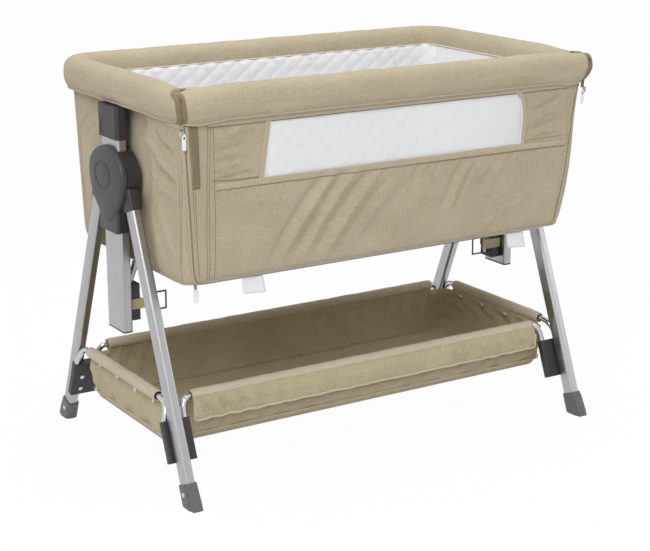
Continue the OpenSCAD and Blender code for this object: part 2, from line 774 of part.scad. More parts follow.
// the front wall: flanks beside the net window and a band below it, with long slanting folds
front_cols = 34;
front_rows = 10;
window_h = (window_z - bed_z) / wall_h;
sill_row = 6;
flank_cols = 6;
function front_row_h(j) =
    j <= sill_row
        ? mix(0, window_h, j / sill_row)
        : mix(window_h, 1, (j - sill_row) / (front_rows - sill_row));
function front_col_x(i, h) =
    let (edge = zip_x(h) - zip_gap / 2)
        i <= flank_cols ? mix(-edge, -window_half_l, i / flank_cols)
        : i >= front_cols - flank_cols
            ? mix(window_half_l, edge, (i - front_cols + flank_cols) / flank_cols)
            : mix(-window_half_l, window_half_l, (i - flank_cols) / (front_cols - 2 * flank_cols));
front_folds = [[-250, 340, 60, 1], [-100, 300, 70, 1], [202, -240, 60, -1], [380, -300, 60, -1]];
function total(values, k = 0) = k < len(values) ? values[k] + total(values, k + 1) : 0;
// the folds fade out at the floor, under the window and towards the zips
function front_fold(x, h) =
    let (free = smooth(h / 0.2) * smooth((window_h - h) / 0.12) * smooth((zip_x_floor - 24 - abs(x)) / 40))
        free * fold_depth * total([for (fold = front_folds) fold_at(fold, x, h)]);

module front_wall() {
    gap = [flank_cols, front_cols - flank_cols, sill_row];
    color([0.71, 0.66, 0.55]) sheet_solid(
        [for (j = [0:front_rows], i = [0:front_cols]) let (h = front_row_h(j), x = front_col_x(i, h))
            [x, -front_y(h) + front_fold(x, h), height_at(h)]],
        [for (j = [0:front_rows], i = [0:front_cols]) let (h = front_row_h(j), x = front_col_x(i, h))
            [x, -front_y(h) + front_fold(x, h) + cloth_t, height_at(h)]],
        front_cols, front_rows, gap
    );
}

module net_window() {
    lean = (wall_front_y_top - wall_front_y_floor) / wall_h;
    h = wall_top_z - window_z - snug;
    color([0.9, 0.9, 0.9]) translate([0, (cloth_t - net_t) / 2 - front_y(window_h), window_z + snug])
        rotate([90, 0, 90]) linear_extrude(2 * (window_half_l - snug), center = true)
            polygon([[0, 0], [net_t, 0], [net_t - lean * h, h], [-lean * h, h]]);
}

// Inside the bed

module bed_floor() {
    color([0.55, 0.5, 0.4]) translate([0, 0, floor_z]) linear_extrude(floor_t)
        rounded(2 * floor_half_l, 2 * floor_half_w, wall_rear_r);
}

module base_frame() {
    r = base_bend_r;
    color("gray") translate([0, 0, base_tube_z]) {
        for (side = [-1, 1]) {
            translate([0, side * base_tube_y, 0])
                tube_x(base_tube_d, tube_wall, r - base_tube_x, base_tube_x - r);
            rotate([0, 0, 90]) translate([0, side * base_tube_x, 0])
                tube_x(base_tube_d, tube_wall, r - base_tube_y, base_tube_y - r);
            for (end = [-1, 1]) translate([side * (base_tube_x - r), end * (base_tube_y - r), 0])
                mirror([side < 0 ? 1 : 0, 0, 0]) mirror([0, end < 0 ? 1 : 0, 0])
                    rotate_extrude(angle = 90) translate([r, 0]) difference() {
                        circle(d = base_tube_d);
                        circle(d = base_tube_d - 2 * tube_wall);
                    }
        }
    }
}

module base_board() {
    out = base_tube_d / 2 - board_inset;
    color("tan") translate([0, 0, board_z]) linear_extrude(board_t)
        rounded(2 * (base_tube_x + out), 2 * (base_tube_y + out), base_bend_r + out);
}

module mattress() {
    half_l = end_inner(lining_h0) - lining_t - mattress_gap;
    half_w = wall_front_y_floor - cloth_t - lining_t - mattress_gap;
    color("white") translate([0, 0, mattress_z]) linear_extrude(mattress_t)
        rounded(2 * half_l, 2 * half_w, wall_rear_r);
}

// quilted lining between four corners: a flat back, and a face whose channels cross in diamonds
module quilted(cols, rows, back, deep) {
    n = (cols + 1) * (rows + 1);
    face = [
        for (j = [0:rows], i = [0:cols])
            mix(mix(back[0], back[1], i / cols), mix(back[3], back[2], i / cols), j / rows)
            + deep * (lining_t - ((i + j) % 2 == 0 ? quilt_depth : 0))
    ];
    function at(i, j) = j * (cols + 1) + i;
    faces = concat(
        [for (j = [0:rows - 1], i = [0:cols - 1])
            each ((i + j) % 2 == 0
                ? [[at(i, j), at(i + 1, j + 1), at(i + 1, j)], [at(i, j), at(i, j + 1), at(i + 1, j + 1)]]
                : [[at(i, j), at(i, j + 1), at(i + 1, j)], [at(i + 1, j), at(i, j + 1), at(i + 1, j + 1)]])],
        [for (i = [0:cols - 1]) each [
            [n, at(i, 0), at(i + 1, 0)],
            [n + 3, at(i + 1, rows), at(i, rows)]
        ]],
        [for (j = [0:rows - 1]) each [
            [n, at(0, j + 1), at(0, j)],
            [n + 1, at(cols, j), at(cols, j + 1)]
        ]],
        [[n, at(cols, 0), n + 1], [n + 3, n + 2, at(cols, rows)]],
        [[n, n + 3, at(0, rows)], [n + 1, at(cols, rows), n + 2]],
        quad(n, n + 1, n + 2, n + 3)
    );
    polyhedron(concat(face, back), faces);
}

lining_h0 = (lining_bottom_z - bed_z) / wall_h;
lining_h1 = (lining_top_z - bed_z) / wall_h;
lining_rows = 2 * round((lining_top_z - lining_bottom_z) / quilt);
function rear_inner(h) = rear_y(h) - cloth_t - seam;
function end_inner(h) = min(end_x(0, h), end_x(rear_y(h) - wall_rear_r, h)) - cloth_t - seam - fold_depth;

module lining_rear() {
    half = wall_l_floor - wall_rear_r - cloth_t;
    color("white") quilted(2 * round(2 * half / quilt), lining_rows, [
        for (p = [[-1, 0], [1, 0], [1, 1], [-1, 1]])
            [p[0] * half, rear_inner(p[1] ? lining_h1 : lining_h0), p[1] ? lining_top_z : lining_bottom_z]
    ], [0, -1, 0]);
}

module lining_end() {
    y_rear = wall_rear_y_floor - wall_rear_r;
    function y_front(h) = cloth_t + mattress_gap - front_y(h);
    color("white") quilted(2 * round((y_rear - y_front(lining_h0)) / quilt), lining_rows, [
        [end_inner(lining_h0), y_rear, lining_bottom_z],
        [end_inner(lining_h0), y_front(lining_h0), lining_bottom_z],
        [end_inner(lining_h1), y_front(lining_h1), lining_top_z],
        [end_inner(lining_h1), y_rear, lining_top_z],
    ], [-1, 0, 0]);
}

// Brackets between the posts and the frame under the bed

bracket_r = 4;

module bed_bracket() {
    color([0.16, 0.16, 0.17]) difference() {
        translate([bracket_x, 0, bracket_z])
            linear_extrude(bracket_h) rounded(bracket_t, bracket_w, bracket_r);
        translate([bracket_x, 0, bracket_top_z - support_depth])
            cylinder(d = support_d + 2 * snug, h = support_depth + 1);
        for (z = bracket_bolt_z) translate([bracket_x - bracket_t / 2 - 1, 0, z])
            rod_along_x(bolt_d + 2 * snug, 0, bracket_t + 2);
    }
}

// up from the bracket, with a bend inboard, to the underside of the frame's end tube
function support_path() = let (
    foot = [bracket_x, 0, bracket_top_z - support_depth + snug],
    head = [base_tube_x, 0, base_tube_z - base_tube_d / 2 - snug],
    neck = foot + [0, 0, support_depth], bow = (head[2] - neck[2]) / 3)
    concat([foot], [for (t = [0:0.125:1]) let (u = 1 - t)
        u * u * u * neck + 3 * u * u * t * (neck + [0, 0, bow])
        + 3 * u * t * t * (head - [0, 0, bow]) + t * t * t * head]);

module bed_supports() {
    color("gray") for (side = [-1, 1]) mirror([side < 0 ? 1 : 0, 0, 0]) {
        swept_bar(support_path(), support_d);
        for (z = bracket_bolt_z) {
            translate([post_x - post_t / 2 + post_wall + snug, 0, z]) rod_along_x(bolt_head_d, 0, 4);
            translate([bracket_x - bracket_t / 2 - 3, 0, z]) rod_along_x(bolt_head_d, 0, 3);
            translate([bracket_x - bracket_t / 2, 0, z])
                rod_along_x(bolt_d, 0, bracket_t + post_wall + 2 * snug + 1);
        }
    }
}

strap_h = 20;
strap_z = bracket_bolt_z[1] - strap_h / 2;
strap_t = 2;
strap_tail = 24;
strap_x = bracket_x - bracket_t / 2 - snug - strap_t; // inboard face of a strap on its bracket

// a strap goes round three sides of its bracket, with an eyelet for the upper bolt,
// and its tail holds the ring
module tether_straps() {
    out = 2 * (strap_t + snug);
    color([0.72, 0.64, 0.47]) for (side = [-1, 1]) mirror([side < 0 ? 1 : 0, 0, 0]) {
        difference() {
            translate([bracket_x, 0, strap_z]) linear_extrude(strap_h) difference() {
                rounded(bracket_t + out, bracket_w + out, bracket_r + strap_t);
                rounded(bracket_t + 2 * snug, bracket_w + 2 * snug, bracket_r);
                translate([bracket_t / 2 - strap_t, -bracket_w]) square([bracket_t, 2 * bracket_w]);
            }
            translate([strap_x - 1, 0, bracket_bolt_z[1]])
                rod_along_x(bolt_head_d + 2 * snug, 0, strap_t + 2);
        }
        translate([strap_x - strap_tail, -bracket_w / 2 - strap_t - snug, strap_z])
            cube([strap_tail + bracket_r + 2 * strap_t, strap_t, strap_h]);
    }
}

ring_w = 34;
ring_out = 24;
wire_d = 3.4;
function ring_x() = strap_x - strap_tail - wire_d / 2 - fit;
function ring_y() = -bracket_w / 2 - strap_t / 2 - snug;

module tether_ring() {
    z0 = strap_z + strap_h / 2 - ring_w / 2;
    color([0.1, 0.1, 0.1]) translate([ring_x(), ring_y(), z0]) {
        for (x = [0, -ring_out]) translate([x, 0, 0]) cylinder(d = wire_d, h = ring_w);
        for (z = [0, ring_w]) translate([0, 0, z]) {
            rod_along_x(wire_d, -ring_out, 0);
            for (x = [0, -ring_out]) translate([x, 0, 0]) sphere(d = wire_d);
        }
    }
}

// Basket

function rod_curve(a, b, c, steps) = [for (k = [0:steps]) let (t = k / steps, u = 1 - t)
    u * u * a + 2 * u * t * b + t * t * c];
// a point in the frame of the front right leg, seen from the stand: x outboard, y inwards, z up the leg
function leg_point(x, y, z) =
    [leg_x + x, -leg_foot_y + z * leg_sin + y * leg_cos, z * leg_cos - y * leg_sin];
function reverse(p) = [for (k = [len(p) - 1:-1:0]) p[k]];
function flip_x(p) = [for (q = p) [-q[0], q[1], q[2]]];
function flip_y(p) = [for (q = p) [q[0], -q[1], q[2]]];
holder_mid = holder_t / 2;
function holder_y() = leg_d / 2 + snug + holder_mid;

// half of a long rod, from the middle to its lower end in the bracket
function long_half() = let (
    top = [long_rod_foot_x, -rod_y, rod_z],
    low = leg_point(long_rod_foot_x - leg_x, holder_y(), holder_top - rod_depth),
    neck = leg_point(long_rod_foot_x - leg_x, holder_y(), holder_top))
    concat(rod_curve([long_rod_foot_x - rod_bend, -rod_y, rod_z], top, neck, 7), [low]);
function end_half() = let (
    top = [end_rod_x, -rod_y - 8, rod_z],
    low = leg_point(end_rod_foot_x - leg_x, holder_y(), holder_top - rod_depth),
    neck = leg_point(end_rod_foot_x - leg_x, holder_y(), holder_top))
    concat(rod_curve([end_rod_x, rod_bend - rod_y, rod_z], top, neck, 7), [low]);

module long_rod() {
    color("lightgray") swept_bar(concat(reverse(flip_x(long_half())), long_half()), rod_d);
}

module end_rod() {
    color("lightgray") swept_bar(concat(reverse(flip_y(end_half())), end_half()), rod_d);
}

module basket_holder(side, end) {
    color([0.2, 0.21, 0.22]) on_leg(side, end) difference() {
        translate([(end_rod_out - long_rod_in) / 2, -holder_y(), holder_top - holder_len])
            linear_extrude(holder_len) rounded(holder_w, holder_t, 3);
        for (x = [end_rod_foot_x - leg_x, long_rod_foot_x - leg_x])
            translate([x, -holder_y(), holder_top - rod_depth - snug])
                cylinder(d = rod_d + 2 * snug, h = rod_depth + 1);
        for (z = holder_bolts) translate([0, -leg_d, holder_top - z])
            rod_along_y(bolt_d + 2 * snug, -leg_d, leg_d);
    }
}

module basket_bolts() {
    color("gray") for (side = [-1, 1], end = [-1, 1]) on_leg(side, end) for (z = holder_bolts)
        translate([0, 0, holder_top - z]) {
            translate([0, -leg_d / 2 - snug - holder_t - 2.5, 0]) rod_along_y(bolt_head_d, 0, 2.5);
            rod_along_y(bolt_d, -leg_d / 2 - snug - holder_t, -leg_d / 2 - snug);
        }
}

module basket_cloth() {
    top_z = rod_z;
    h = top_z - basket_z;
    top_l = end_rod_x - basket_end_in;
    top_w = rod_y;
    color([0.71, 0.66, 0.55]) difference() {
        union() {
            difference() {
                basket_solid(basket_floor_l, basket_floor_w, top_l, top_w, basket_z, h, basket_r);
                basket_solid(
                    basket_floor_l - cloth_t, basket_floor_w - cloth_t, top_l - cloth_t, top_w - cloth_t,
                    basket_z + cloth_t, h + 0.1, basket_r - cloth_t
                );
                // the corners are open round the rods' bends
                for (x = [-1, 1], y = [-1, 1])
                    translate([x * (end_rod_x + rod_bend), y * (rod_y + rod_bend), top_z]) cube([
                        2 * (end_rod_x + rod_bend - hem_half_l),
                        2 * (rod_y + rod_bend - hem_half_w), 2 * corner_open
                    ], center = true);
            }
            for (end = [-1, 1]) translate([0, end * rod_y, rod_z])
                rod_along_x(hem_d, -hem_half_l, hem_half_l);
            for (side = [-1, 1]) translate([side * end_rod_x, 0, rod_z])
                rod_along_y(hem_d, -hem_half_w, hem_half_w);
            // flap over the front hem
            translate([-hem_half_l, -rod_y - hem_d / 2, rod_z + hem_d / 2 - flap_h])
                cube([2 * hem_half_l, cloth_t, flap_h - hem_d / 2]);
        }
        for (end = [-1, 1]) translate([0, end * rod_y, rod_z])
            rod_along_x(rod_d + 2 * snug, -hem_half_l - 1, hem_half_l + 1);
        for (side = [-1, 1]) translate([side * end_rod_x, 0, rod_z])
            rod_along_y(rod_d + 2 * snug, -hem_half_w - 1, hem_half_w + 1);
    }
}

function plan_ring(l, w, r, z) = [
    for (q = [0:3], a = [0:30:90])
        let (sx = q == 0 || q == 3 ? 1 : -1, sy = q < 2 ? 1 : -1)
            [sx * (l - r) + r * cos(90 * q + a), sy * (w - r) + r * sin(90 * q + a), z]
];

module basket_solid(l0, w0, l1, w1, z0, h, r) {
    low = plan_ring(l0, w0, r, z0);
    n = len(low);
    polyhedron(
        concat(low, plan_ring(l1, w1, r, z0 + h)),
        concat(
            [[for (k = [0:n - 1]) k]],
            [for (k = [0:n - 1]) each quad(k, k + n, (k + 1) % n + n, (k + 1) % n)],
            [[for (k = [n - 1:-1:0]) n + k]]
        )
    );
}

snap_y = [-118, -40, 40, 118];

module basket_snaps() {
    lean = atan((end_rod_x - basket_end_in - basket_floor_l) / (rod_z - basket_z));
    z = rod_z - hem_d / 2 - 10;
    x = mix(basket_floor_l, end_rod_x - basket_end_in, (z - basket_z) / (rod_z - basket_z));
    color("gainsboro") for (side = [-1, 1], y = snap_y) mirror([side < 0 ? 1 : 0, 0, 0])
        translate([x + 0.1, y, z]) rotate([0, lean, 0]) rod_along_x(8, 0, 1.6);
}

// Zips at the front corners, right side

zip_lean_x = atan((zip_x_top - zip_x_floor) / wall_h);
zip_lean_y = atan((wall_front_y_top - wall_front_y_floor) / wall_h);
zip_rest_h = 1 - 14 / wall_h;

// places a shape at the zip's upper end: its Z runs up the zip and its Y points into the bed
module on_zip() {
    translate([zip_x(zip_rest_h) + slider_out, -front_y(zip_rest_h), height_at(zip_rest_h)])
        rotate([zip_lean_y, zip_lean_x, 0]) children();
}

module zip_slider() {
    color("whitesmoke") on_zip() difference() {
        translate([-slider_w / 2, -slider_t - fit, -slider_len / 2]) cube([slider_w, slider_t, slider_len]);
        translate([0, -pull_pin_out, 0]) rod_along_x(pull_pin_d + snug, -slider_w, slider_w);
        translate([-pull_w / 4 - fit, -slider_t - fit - 1, -slider_len])
            cube([pull_w / 2 + 2 * fit, 3.4, slider_len + 2 + pull_pin_d]);
    }
}

// a pull hangs plumb from its pin
module zip_pull() {
    color("whitesmoke") on_zip() translate([0, -pull_pin_out, 0]) rotate([-zip_lean_y, 0, 0]) {
        rod_along_x(pull_pin_d, -slider_w / 2, slider_w / 2);
        translate([-pull_w / 4, -pull_t / 2 - 0.2, -slider_len / 2 - 1])
            cube([pull_w / 2, pull_t, slider_len / 2 + 1]);
        translate([-pull_w / 2, -pull_t / 2 - 0.2, -slider_len / 2 - pull_len])
            cube([pull_w, pull_t, pull_len - 1]);
    }
}

module right_and_left(right) {
    mirror([right ? 0 : 1, 0, 0]) children();
}

leg(-1, -1);  // leg_front_left
leg(1, -1);  // leg_front_right
leg(-1, 1);  // leg_rear_left
leg(1, 1);  // leg_rear_right
foot(-1, -1);  // foot_front_left
foot(1, -1);  // foot_front_right
foot(-1, 1);  // foot_rear_left
foot(1, 1);  // foot_rear_right
right_and_left(false) hub_cover();  // hub_cover_left
right_and_left(true) hub_cover();  // hub_cover_right
right_and_left(false) hub_inner();  // hub_inner_left
right_and_left(true) hub_inner();  // hub_inner_right
hub_screws();
basket_holder(-1, -1);  // basket_holder_front_left
basket_holder(1, -1);  // basket_holder_front_right
basket_holder(-1, 1);  // basket_holder_rear_left
basket_holder(1, 1);  // basket_holder_rear_right
basket_bolts();
long_rod();  // basket_rod_front
mirror([0, 1, 0]) long_rod();  // basket_rod_rear
right_and_left(false) end_rod();  // basket_rod_left
right_and_left(true) end_rod();  // basket_rod_right
basket_cloth();
basket_snaps();
right_and_left(false) post();  // post_left
right_and_left(true) post();  // post_right
post_caps();
right_and_left(false) sleeve();  // sleeve_left
right_and_left(true) sleeve();  // sleeve_right
right_and_left(false) lock_button();  // lock_button_left
right_and_left(true) lock_button();  // lock_button_right
rail_tube();
front_rail_tube();
rail_plugs();
right_and_left(false) pad_side();  // pad_left
right_and_left(true) pad_side();  // pad_right
pad_rear();
pad_front();
right_and_left(false) end_wall();  // end_wall_left
right_and_left(true) end_wall();  // end_wall_right
rear_wall();
front_wall();
net_window();
bed_floor();
base_frame();
base_board();
mattress();
lining_rear();
right_and_left(false) lining_end();  // lining_left
right_and_left(true) lining_end();  // lining_right
right_and_left(false) bed_bracket();  // bed_bracket_left
right_and_left(true) bed_bracket();  // bed_bracket_right
bed_supports();
tether_straps();
right_and_left(false) tether_ring();  // tether_ring_left
right_and_left(true) tether_ring();  // tether_ring_right
right_and_left(false) zip_slider();  // zip_slider_left
right_and_left(true) zip_slider();  // zip_slider_right
right_and_left(false) zip_pull();  // zip_pull_left
right_and_left(true) zip_pull();  // zip_pull_right
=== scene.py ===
"""Bedside crib: the looks of every piece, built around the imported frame.

Sizes in the classes are millimetres, as on a maker's drawing, and every finished mesh is in metres in the
frame's own axes: X along the bed, the drop side faces -Y, and the floor is z = 0.
"""

import logging
import math
from contextlib import contextmanager
from dataclasses import dataclass, field
from enum import Enum
from functools import partial
from typing import Callable, Iterator, Optional, Sequence

import bmesh
import bpy
import numpy as np
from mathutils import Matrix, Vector


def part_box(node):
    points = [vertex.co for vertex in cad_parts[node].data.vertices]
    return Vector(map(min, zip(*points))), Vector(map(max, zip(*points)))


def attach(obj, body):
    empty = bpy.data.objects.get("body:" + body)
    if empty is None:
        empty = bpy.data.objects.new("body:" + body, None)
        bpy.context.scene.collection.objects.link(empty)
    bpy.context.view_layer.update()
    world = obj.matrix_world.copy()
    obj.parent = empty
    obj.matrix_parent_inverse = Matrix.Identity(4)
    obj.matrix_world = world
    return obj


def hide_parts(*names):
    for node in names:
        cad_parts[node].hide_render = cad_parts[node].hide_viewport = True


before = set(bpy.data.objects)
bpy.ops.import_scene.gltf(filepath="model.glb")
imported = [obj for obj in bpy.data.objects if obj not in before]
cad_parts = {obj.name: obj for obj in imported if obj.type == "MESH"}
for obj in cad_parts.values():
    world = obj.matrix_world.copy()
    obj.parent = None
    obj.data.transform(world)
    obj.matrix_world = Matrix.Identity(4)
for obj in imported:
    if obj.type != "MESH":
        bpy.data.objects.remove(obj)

MM = 0.001
BAND = 0.314  # a wave texture's Scale for one band in each unit of length
WELD = 0.00002  # metres under which two corners are one
BOW = 0.08  # how far a fold bows to one side, as a share of its length
FADE = 0.3  # the share of a fold's length in which it fades at either end
WAVES = 9  # how many slanting waves make the unevenness of cloth
SPREAD = (0.6, 1.8)  # their shortest and longest, as shares of the usual length
Place = tuple[float, float, float]
Pair = tuple[float, float]
Face = Callable[..., np.ndarray]  # a place from a cloth's two coordinates and a height above it
Socket = bpy.types.NodeSocket
Tree = bpy.types.NodeTree
Object = bpy.types.Object
LOG = logging.getLogger("crib")
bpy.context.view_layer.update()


class Side(Enum):
    """The two ends of the crib, as the sign of their X."""

    LEFT = -1
    RIGHT = 1

    @property
    def word(self) -> str:
        """The side's name as the frame's nodes spell it."""
        return self.name.lower()


# Small shared tools


def smooth(t: np.ndarray | float) -> np.ndarray:
    """A step from 0 to 1 with soft ends."""
    c = np.clip(t, 0.0, 1.0)
    return c * c * (3 - 2 * c)


def bump(x: np.ndarray | float, centre: np.ndarray | float, half: float) -> np.ndarray:
    """A rounded ridge of height 1 round centre, that ends half away from it."""
    t = np.clip(np.abs((np.asarray(x) - centre) / half), 0, 1)
    return (1 + np.cos(np.pi * t)) / 2


def ripple(u: np.ndarray, v: np.ndarray, length: float, seed: int) -> np.ndarray:
    """Soft unevenness of cloth, from a sum of slanting waves.

    Args:
        u: First coordinate in millimetres.
        v: Second coordinate in millimetres.
        length: Usual wave length in millimetres.
        seed: Chooses the pattern.

    Returns:
        Heights from about -1 to 1.
    """
    rng = np.random.default_rng(seed)
    total = np.zeros(np.broadcast(u, v).shape)
    for _ in range(WAVES):
        angle, size, phase = rng.uniform(0, np.pi), length * rng.uniform(*SPREAD), rng.uniform(0, 2 * np.pi)
        total = total + np.sin(2 * np.pi * (u * np.cos(angle) + v * np.sin(angle)) / size + phase)
    return total / math.sqrt(WAVES) / 1.6


def crease(u: np.ndarray, v: np.ndarray, a: Sequence[float], b: Sequence[float], half: float) -> np.ndarray:
    """A fold that runs from point a to point b and fades at both ends.

    Args:
        u: First coordinate.
        v: Second coordinate.
        a: One end of the fold.
        b: The other end.
        half: Half the fold's width.

    Returns:
        Height from 0 to 1.
    """
    au, av = a
    du, dv = b[0] - au, b[1] - av
    long = math.hypot(du, dv)
    along = ((u - au) * du + (v - av) * dv) / long
    across = ((u - au) * dv - (v - av) * du) / long + BOW * long * np.sin(2.2 * along / long)
    return bump(across, 0.0, half) * smooth(along / (FADE * long)) * smooth((long - along) / (FADE * long))


def superellipse(count: int, power: float, inner_power: Optional[float] = None) -> np.ndarray:
    """Points round a rounded oblong of half width 1 and half height 1.

    Args:
        count: How many points.
        power: How square it is; 2 is a circle.
        inner_power: The power on its -X half, if that differs.

    Returns:
        Array (count, 2), counter-clockwise.
    """
    a = 2 * np.pi * np.arange(count) / count
    c, s = np.cos(a), np.sin(a)
    p = np.where(c < 0, inner_power or power, power)
    return np.stack([np.sign(c) * np.abs(c) ** (2 / p), np.sign(s) * np.abs(s) ** (2 / p)], axis=1)


def linked(name: str, data: bpy.types.ID) -> Object:
    """A new object, linked to the scene.

    Args:
        name: Its name.
        data: Its mesh, light or camera.

    Returns:
        The object.
    """
    obj = bpy.data.objects.new(name, data)
    bpy.context.scene.collection.objects.link(obj)
    return obj


@contextmanager
def editing(mesh: bpy.types.Mesh) -> Iterator[bmesh.types.BMesh]:
    """Opens a mesh for editing and writes it back.

    Args:
        mesh: The mesh.

    Yields:
        The same mesh as a BMesh.
    """
    work = bmesh.new()
    work.from_mesh(mesh)
    yield work
    work.to_mesh(mesh)
    work.free()


def read(data: bpy.types.bpy_prop_collection, key: str, width: int = 3) -> np.ndarray:
    """Reads one property of every item as an array.

    Args:
        data: Such as a mesh's vertices.
        key: The property's name.
        width: How many numbers an item has.

    Returns:
        Array (items, width).
    """
    flat = np.zeros(len(data) * width)
    data.foreach_get(key, flat)
    return flat.reshape(-1, width)


def paint_uv(mesh: bpy.types.Mesh, uv: np.ndarray) -> None:
    """Stores the cloth coordinates that the weave runs by.

    Args:
        mesh: The mesh.
        uv: Array (vertices, 2) in millimetres.
    """
    layer = mesh.uv_layers.get("cloth") or mesh.uv_layers.new(name="cloth")
    corners = np.zeros(len(mesh.loops), np.int32)
    mesh.loops.foreach_get("vertex_index", corners)
    layer.data.foreach_set("uv", (np.asarray(uv, float)[corners] * MM).astype(np.float32).ravel())


def shade_smooth(mesh: bpy.types.Mesh, sharp: Optional[float] = None) -> None:
    """Shades a mesh smooth.

    Args:
        mesh: The mesh.
        sharp: Edges sharper than this many degrees stay edges.
    """
    mesh.polygons.foreach_set("use_smooth", [True] * len(mesh.polygons))
    if sharp is not None:
        mesh.set_sharp_from_angle(angle=math.radians(sharp))


def mesh_object(name: str, points: np.ndarray, faces: list, uv: Optional[np.ndarray] = None) -> Object:
    """Makes an object at the origin from points in millimetres.

    Args:
        name: The piece's name.
        points: Array (n, 3).
        faces: Lists of point numbers.
        uv: Array (n, 2) of cloth coordinates in millimetres, for the weave.

    Returns:
        The object, linked to the scene.
    """
    mesh = bpy.data.meshes.new(name)
    mesh.from_pydata((np.asarray(points, float) * MM).tolist(), [], [list(map(int, f)) for f in faces])
    if uv is not None:
        paint_uv(mesh, uv)
    mesh.validate()
    shade_smooth(mesh)
    return linked(name, mesh)


def grid_faces(rows: int, cols: int, ring: bool = False, keep: Optional[np.ndarray] = None) -> np.ndarray:
    """Quads of a grid of points that is stored row by row.

    Args:
        rows: Number of rows of points.
        cols: Number of points in a row.
        ring: Whether each row closes on itself.
        keep: Array (rows - 1, cells in a row) of the cells that exist.

    Returns:
        Array (n, 4) of point numbers.
    """
    wide = cols if ring else cols - 1
    j, i = np.meshgrid(np.arange(rows - 1), np.arange(wide), indexing="ij")
    k = (i + 1) % cols
    quads = np.stack([j * cols + i, j * cols + k, (j + 1) * cols + k, (j + 1) * cols + i], axis=-1)
    return quads[keep] if keep is not None else quads.reshape(-1, 4)


def arc_lengths(points: np.ndarray, axis: int) -> np.ndarray:
    """The lengths along the rows (axis 1) or columns (axis 0) of a grid of points."""
    first = points[:, :1] if axis else points[:1]
    return np.linalg.norm(np.diff(points, axis=axis, prepend=first), axis=2).cumsum(axis=axis)


def arc_uv(points: np.ndarray) -> np.ndarray:
    """Cloth coordinates of a grid of points, as the lengths along its rows and columns."""
    down = arc_lengths(points, 0)
    return np.stack([arc_lengths(points, 1).mean(axis=0)[None, :] + 0 * down, down], axis=-1).reshape(-1, 2)


def grid_object(name: str, points: np.ndarray, flip: bool = False, **cells: object) -> Object:
    """A sheet through a grid of points.

    Args:
        name: The piece's name.
        points: Array (rows, points in a row, 3).
        flip: Whether the faces look the other way.
        cells: The ring or keep of grid_faces.

    Returns:
        The sheet, with cloth coordinates.
    """
    faces = grid_faces(*points.shape[:2], **cells)
    return mesh_object(name, points.reshape(-1, 3), faces[:, ::-1] if flip else faces, arc_uv(points))


def tube_of_rings(name: str, rings: np.ndarray, sharp: Optional[float] = None) -> Object:
    """A closed body through rings of points, such as a padded cover.

    Args:
        name: The piece's name.
        rings: Array (stations, points in a ring, 3).
        sharp: Edges sharper than this many degrees stay edges.

    Returns:
        The object, its faces outwards.
    """
    stations, count, _ = rings.shape
    faces = grid_faces(stations, count, ring=True).tolist()
    faces += [list(range(count))[::-1], [(stations - 1) * count + k for k in range(count)]]
    obj = mesh_object(name, rings.reshape(-1, 3), faces, arc_uv(rings))
    face_outwards(obj)
    if sharp is not None:
        shade_smooth(obj.data, sharp)
    return obj


def face_outwards(obj: Object) -> None:
    """Turns a closed mesh's faces outwards."""
    with editing(obj.data) as work:
        bmesh.ops.recalc_face_normals(work, faces=work.faces)


def baked(obj: Object) -> bpy.types.Mesh:
    """A new mesh of an object as its modifiers leave it. They are taken off the object.

    Args:
        obj: The object.

    Returns:
        The mesh.
    """
    graph = bpy.context.evaluated_depsgraph_get()
    mesh = bpy.data.meshes.new_from_object(obj.evaluated_get(graph))
    obj.modifiers.clear()
    return mesh


def thicken(obj: Object, thickness: float) -> None:
    """Gives a sheet, its faces outwards, a thickness in millimetres on its inner side."""
    wall = obj.modifiers.new("thickness", "SOLIDIFY")
    wall.thickness, wall.offset = thickness * MM, -1.0


def soften_edges(obj: Object, width: float, angle: float) -> None:
    """Rounds the edges of a moulded piece.

    Args:
        obj: The piece.
        width: The rounding in millimetres.
        angle: Edges sharper than this many degrees are rounded.
    """
    obj.modifiers.new("weld", "WELD").merge_threshold = WELD
    bevel = obj.modifiers.new("rounding", "BEVEL")
    bevel.width, bevel.segments = width * MM, 2
    bevel.limit_method, bevel.angle_limit = "ANGLE", math.radians(angle)
    bevel.harden_normals = False


def dress(obj: Object, body: str, material: bpy.types.Material, replaces: Sequence[str] = ()) -> Object:
    """Gives a piece its finish, the body that it moves with and the nodes that it stands for.

    Args:
        obj: The piece.
        body: The frame's body.
        material: Its finish.
        replaces: Frame nodes that it stands for.

    Returns:
        The same piece.
    """
    if material.name not in [m.name for m in obj.data.materials if m]:
        obj.data.materials.append(material)
    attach(obj, body)
    if replaces:
        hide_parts(*replaces)
    LOG.info("%s: %d faces, moves with %s", obj.name, len(obj.data.polygons), body)
    return obj


# Materials


def linear(code: str) -> tuple[float, float, float, float]:
    """A hex colour as linear red, green, blue and alpha."""
    parts = [int(code[k : k + 2], 16) / 255 for k in (1, 3, 5)]
    return (*[c / 12.92 if c <= 0.04045 else ((c + 0.055) / 1.055) ** 2.4 for c in parts], 1.0)


def add_node(tree: Tree, kind: str, inputs: Optional[dict] = None, **settings: object) -> bpy.types.Node:
    """Adds a node, sets its inputs, or links them where a socket is given.

    Args:
        tree: Where it goes.
        kind: The node's type.
        inputs: Values or sockets by input name or number.
        settings: The node's own properties.

    Returns:
        The node.
    """
    node = tree.nodes.new(kind)
    for key, value in settings.items():
        setattr(node, key, value)
    for key, value in (inputs or {}).items():
        if isinstance(value, Socket):
            tree.links.new(value, node.inputs[key])
        else:
            node.inputs[key].default_value = value
    return node


def own_tree(owner: bpy.types.ID) -> Tree:
    """Switches nodes on.

    Args:
        owner: A material or a world.

    Returns:
        Its node tree, emptied.
    """
    owner.use_nodes = True
    owner.node_tree.nodes.clear()
    return owner.node_tree


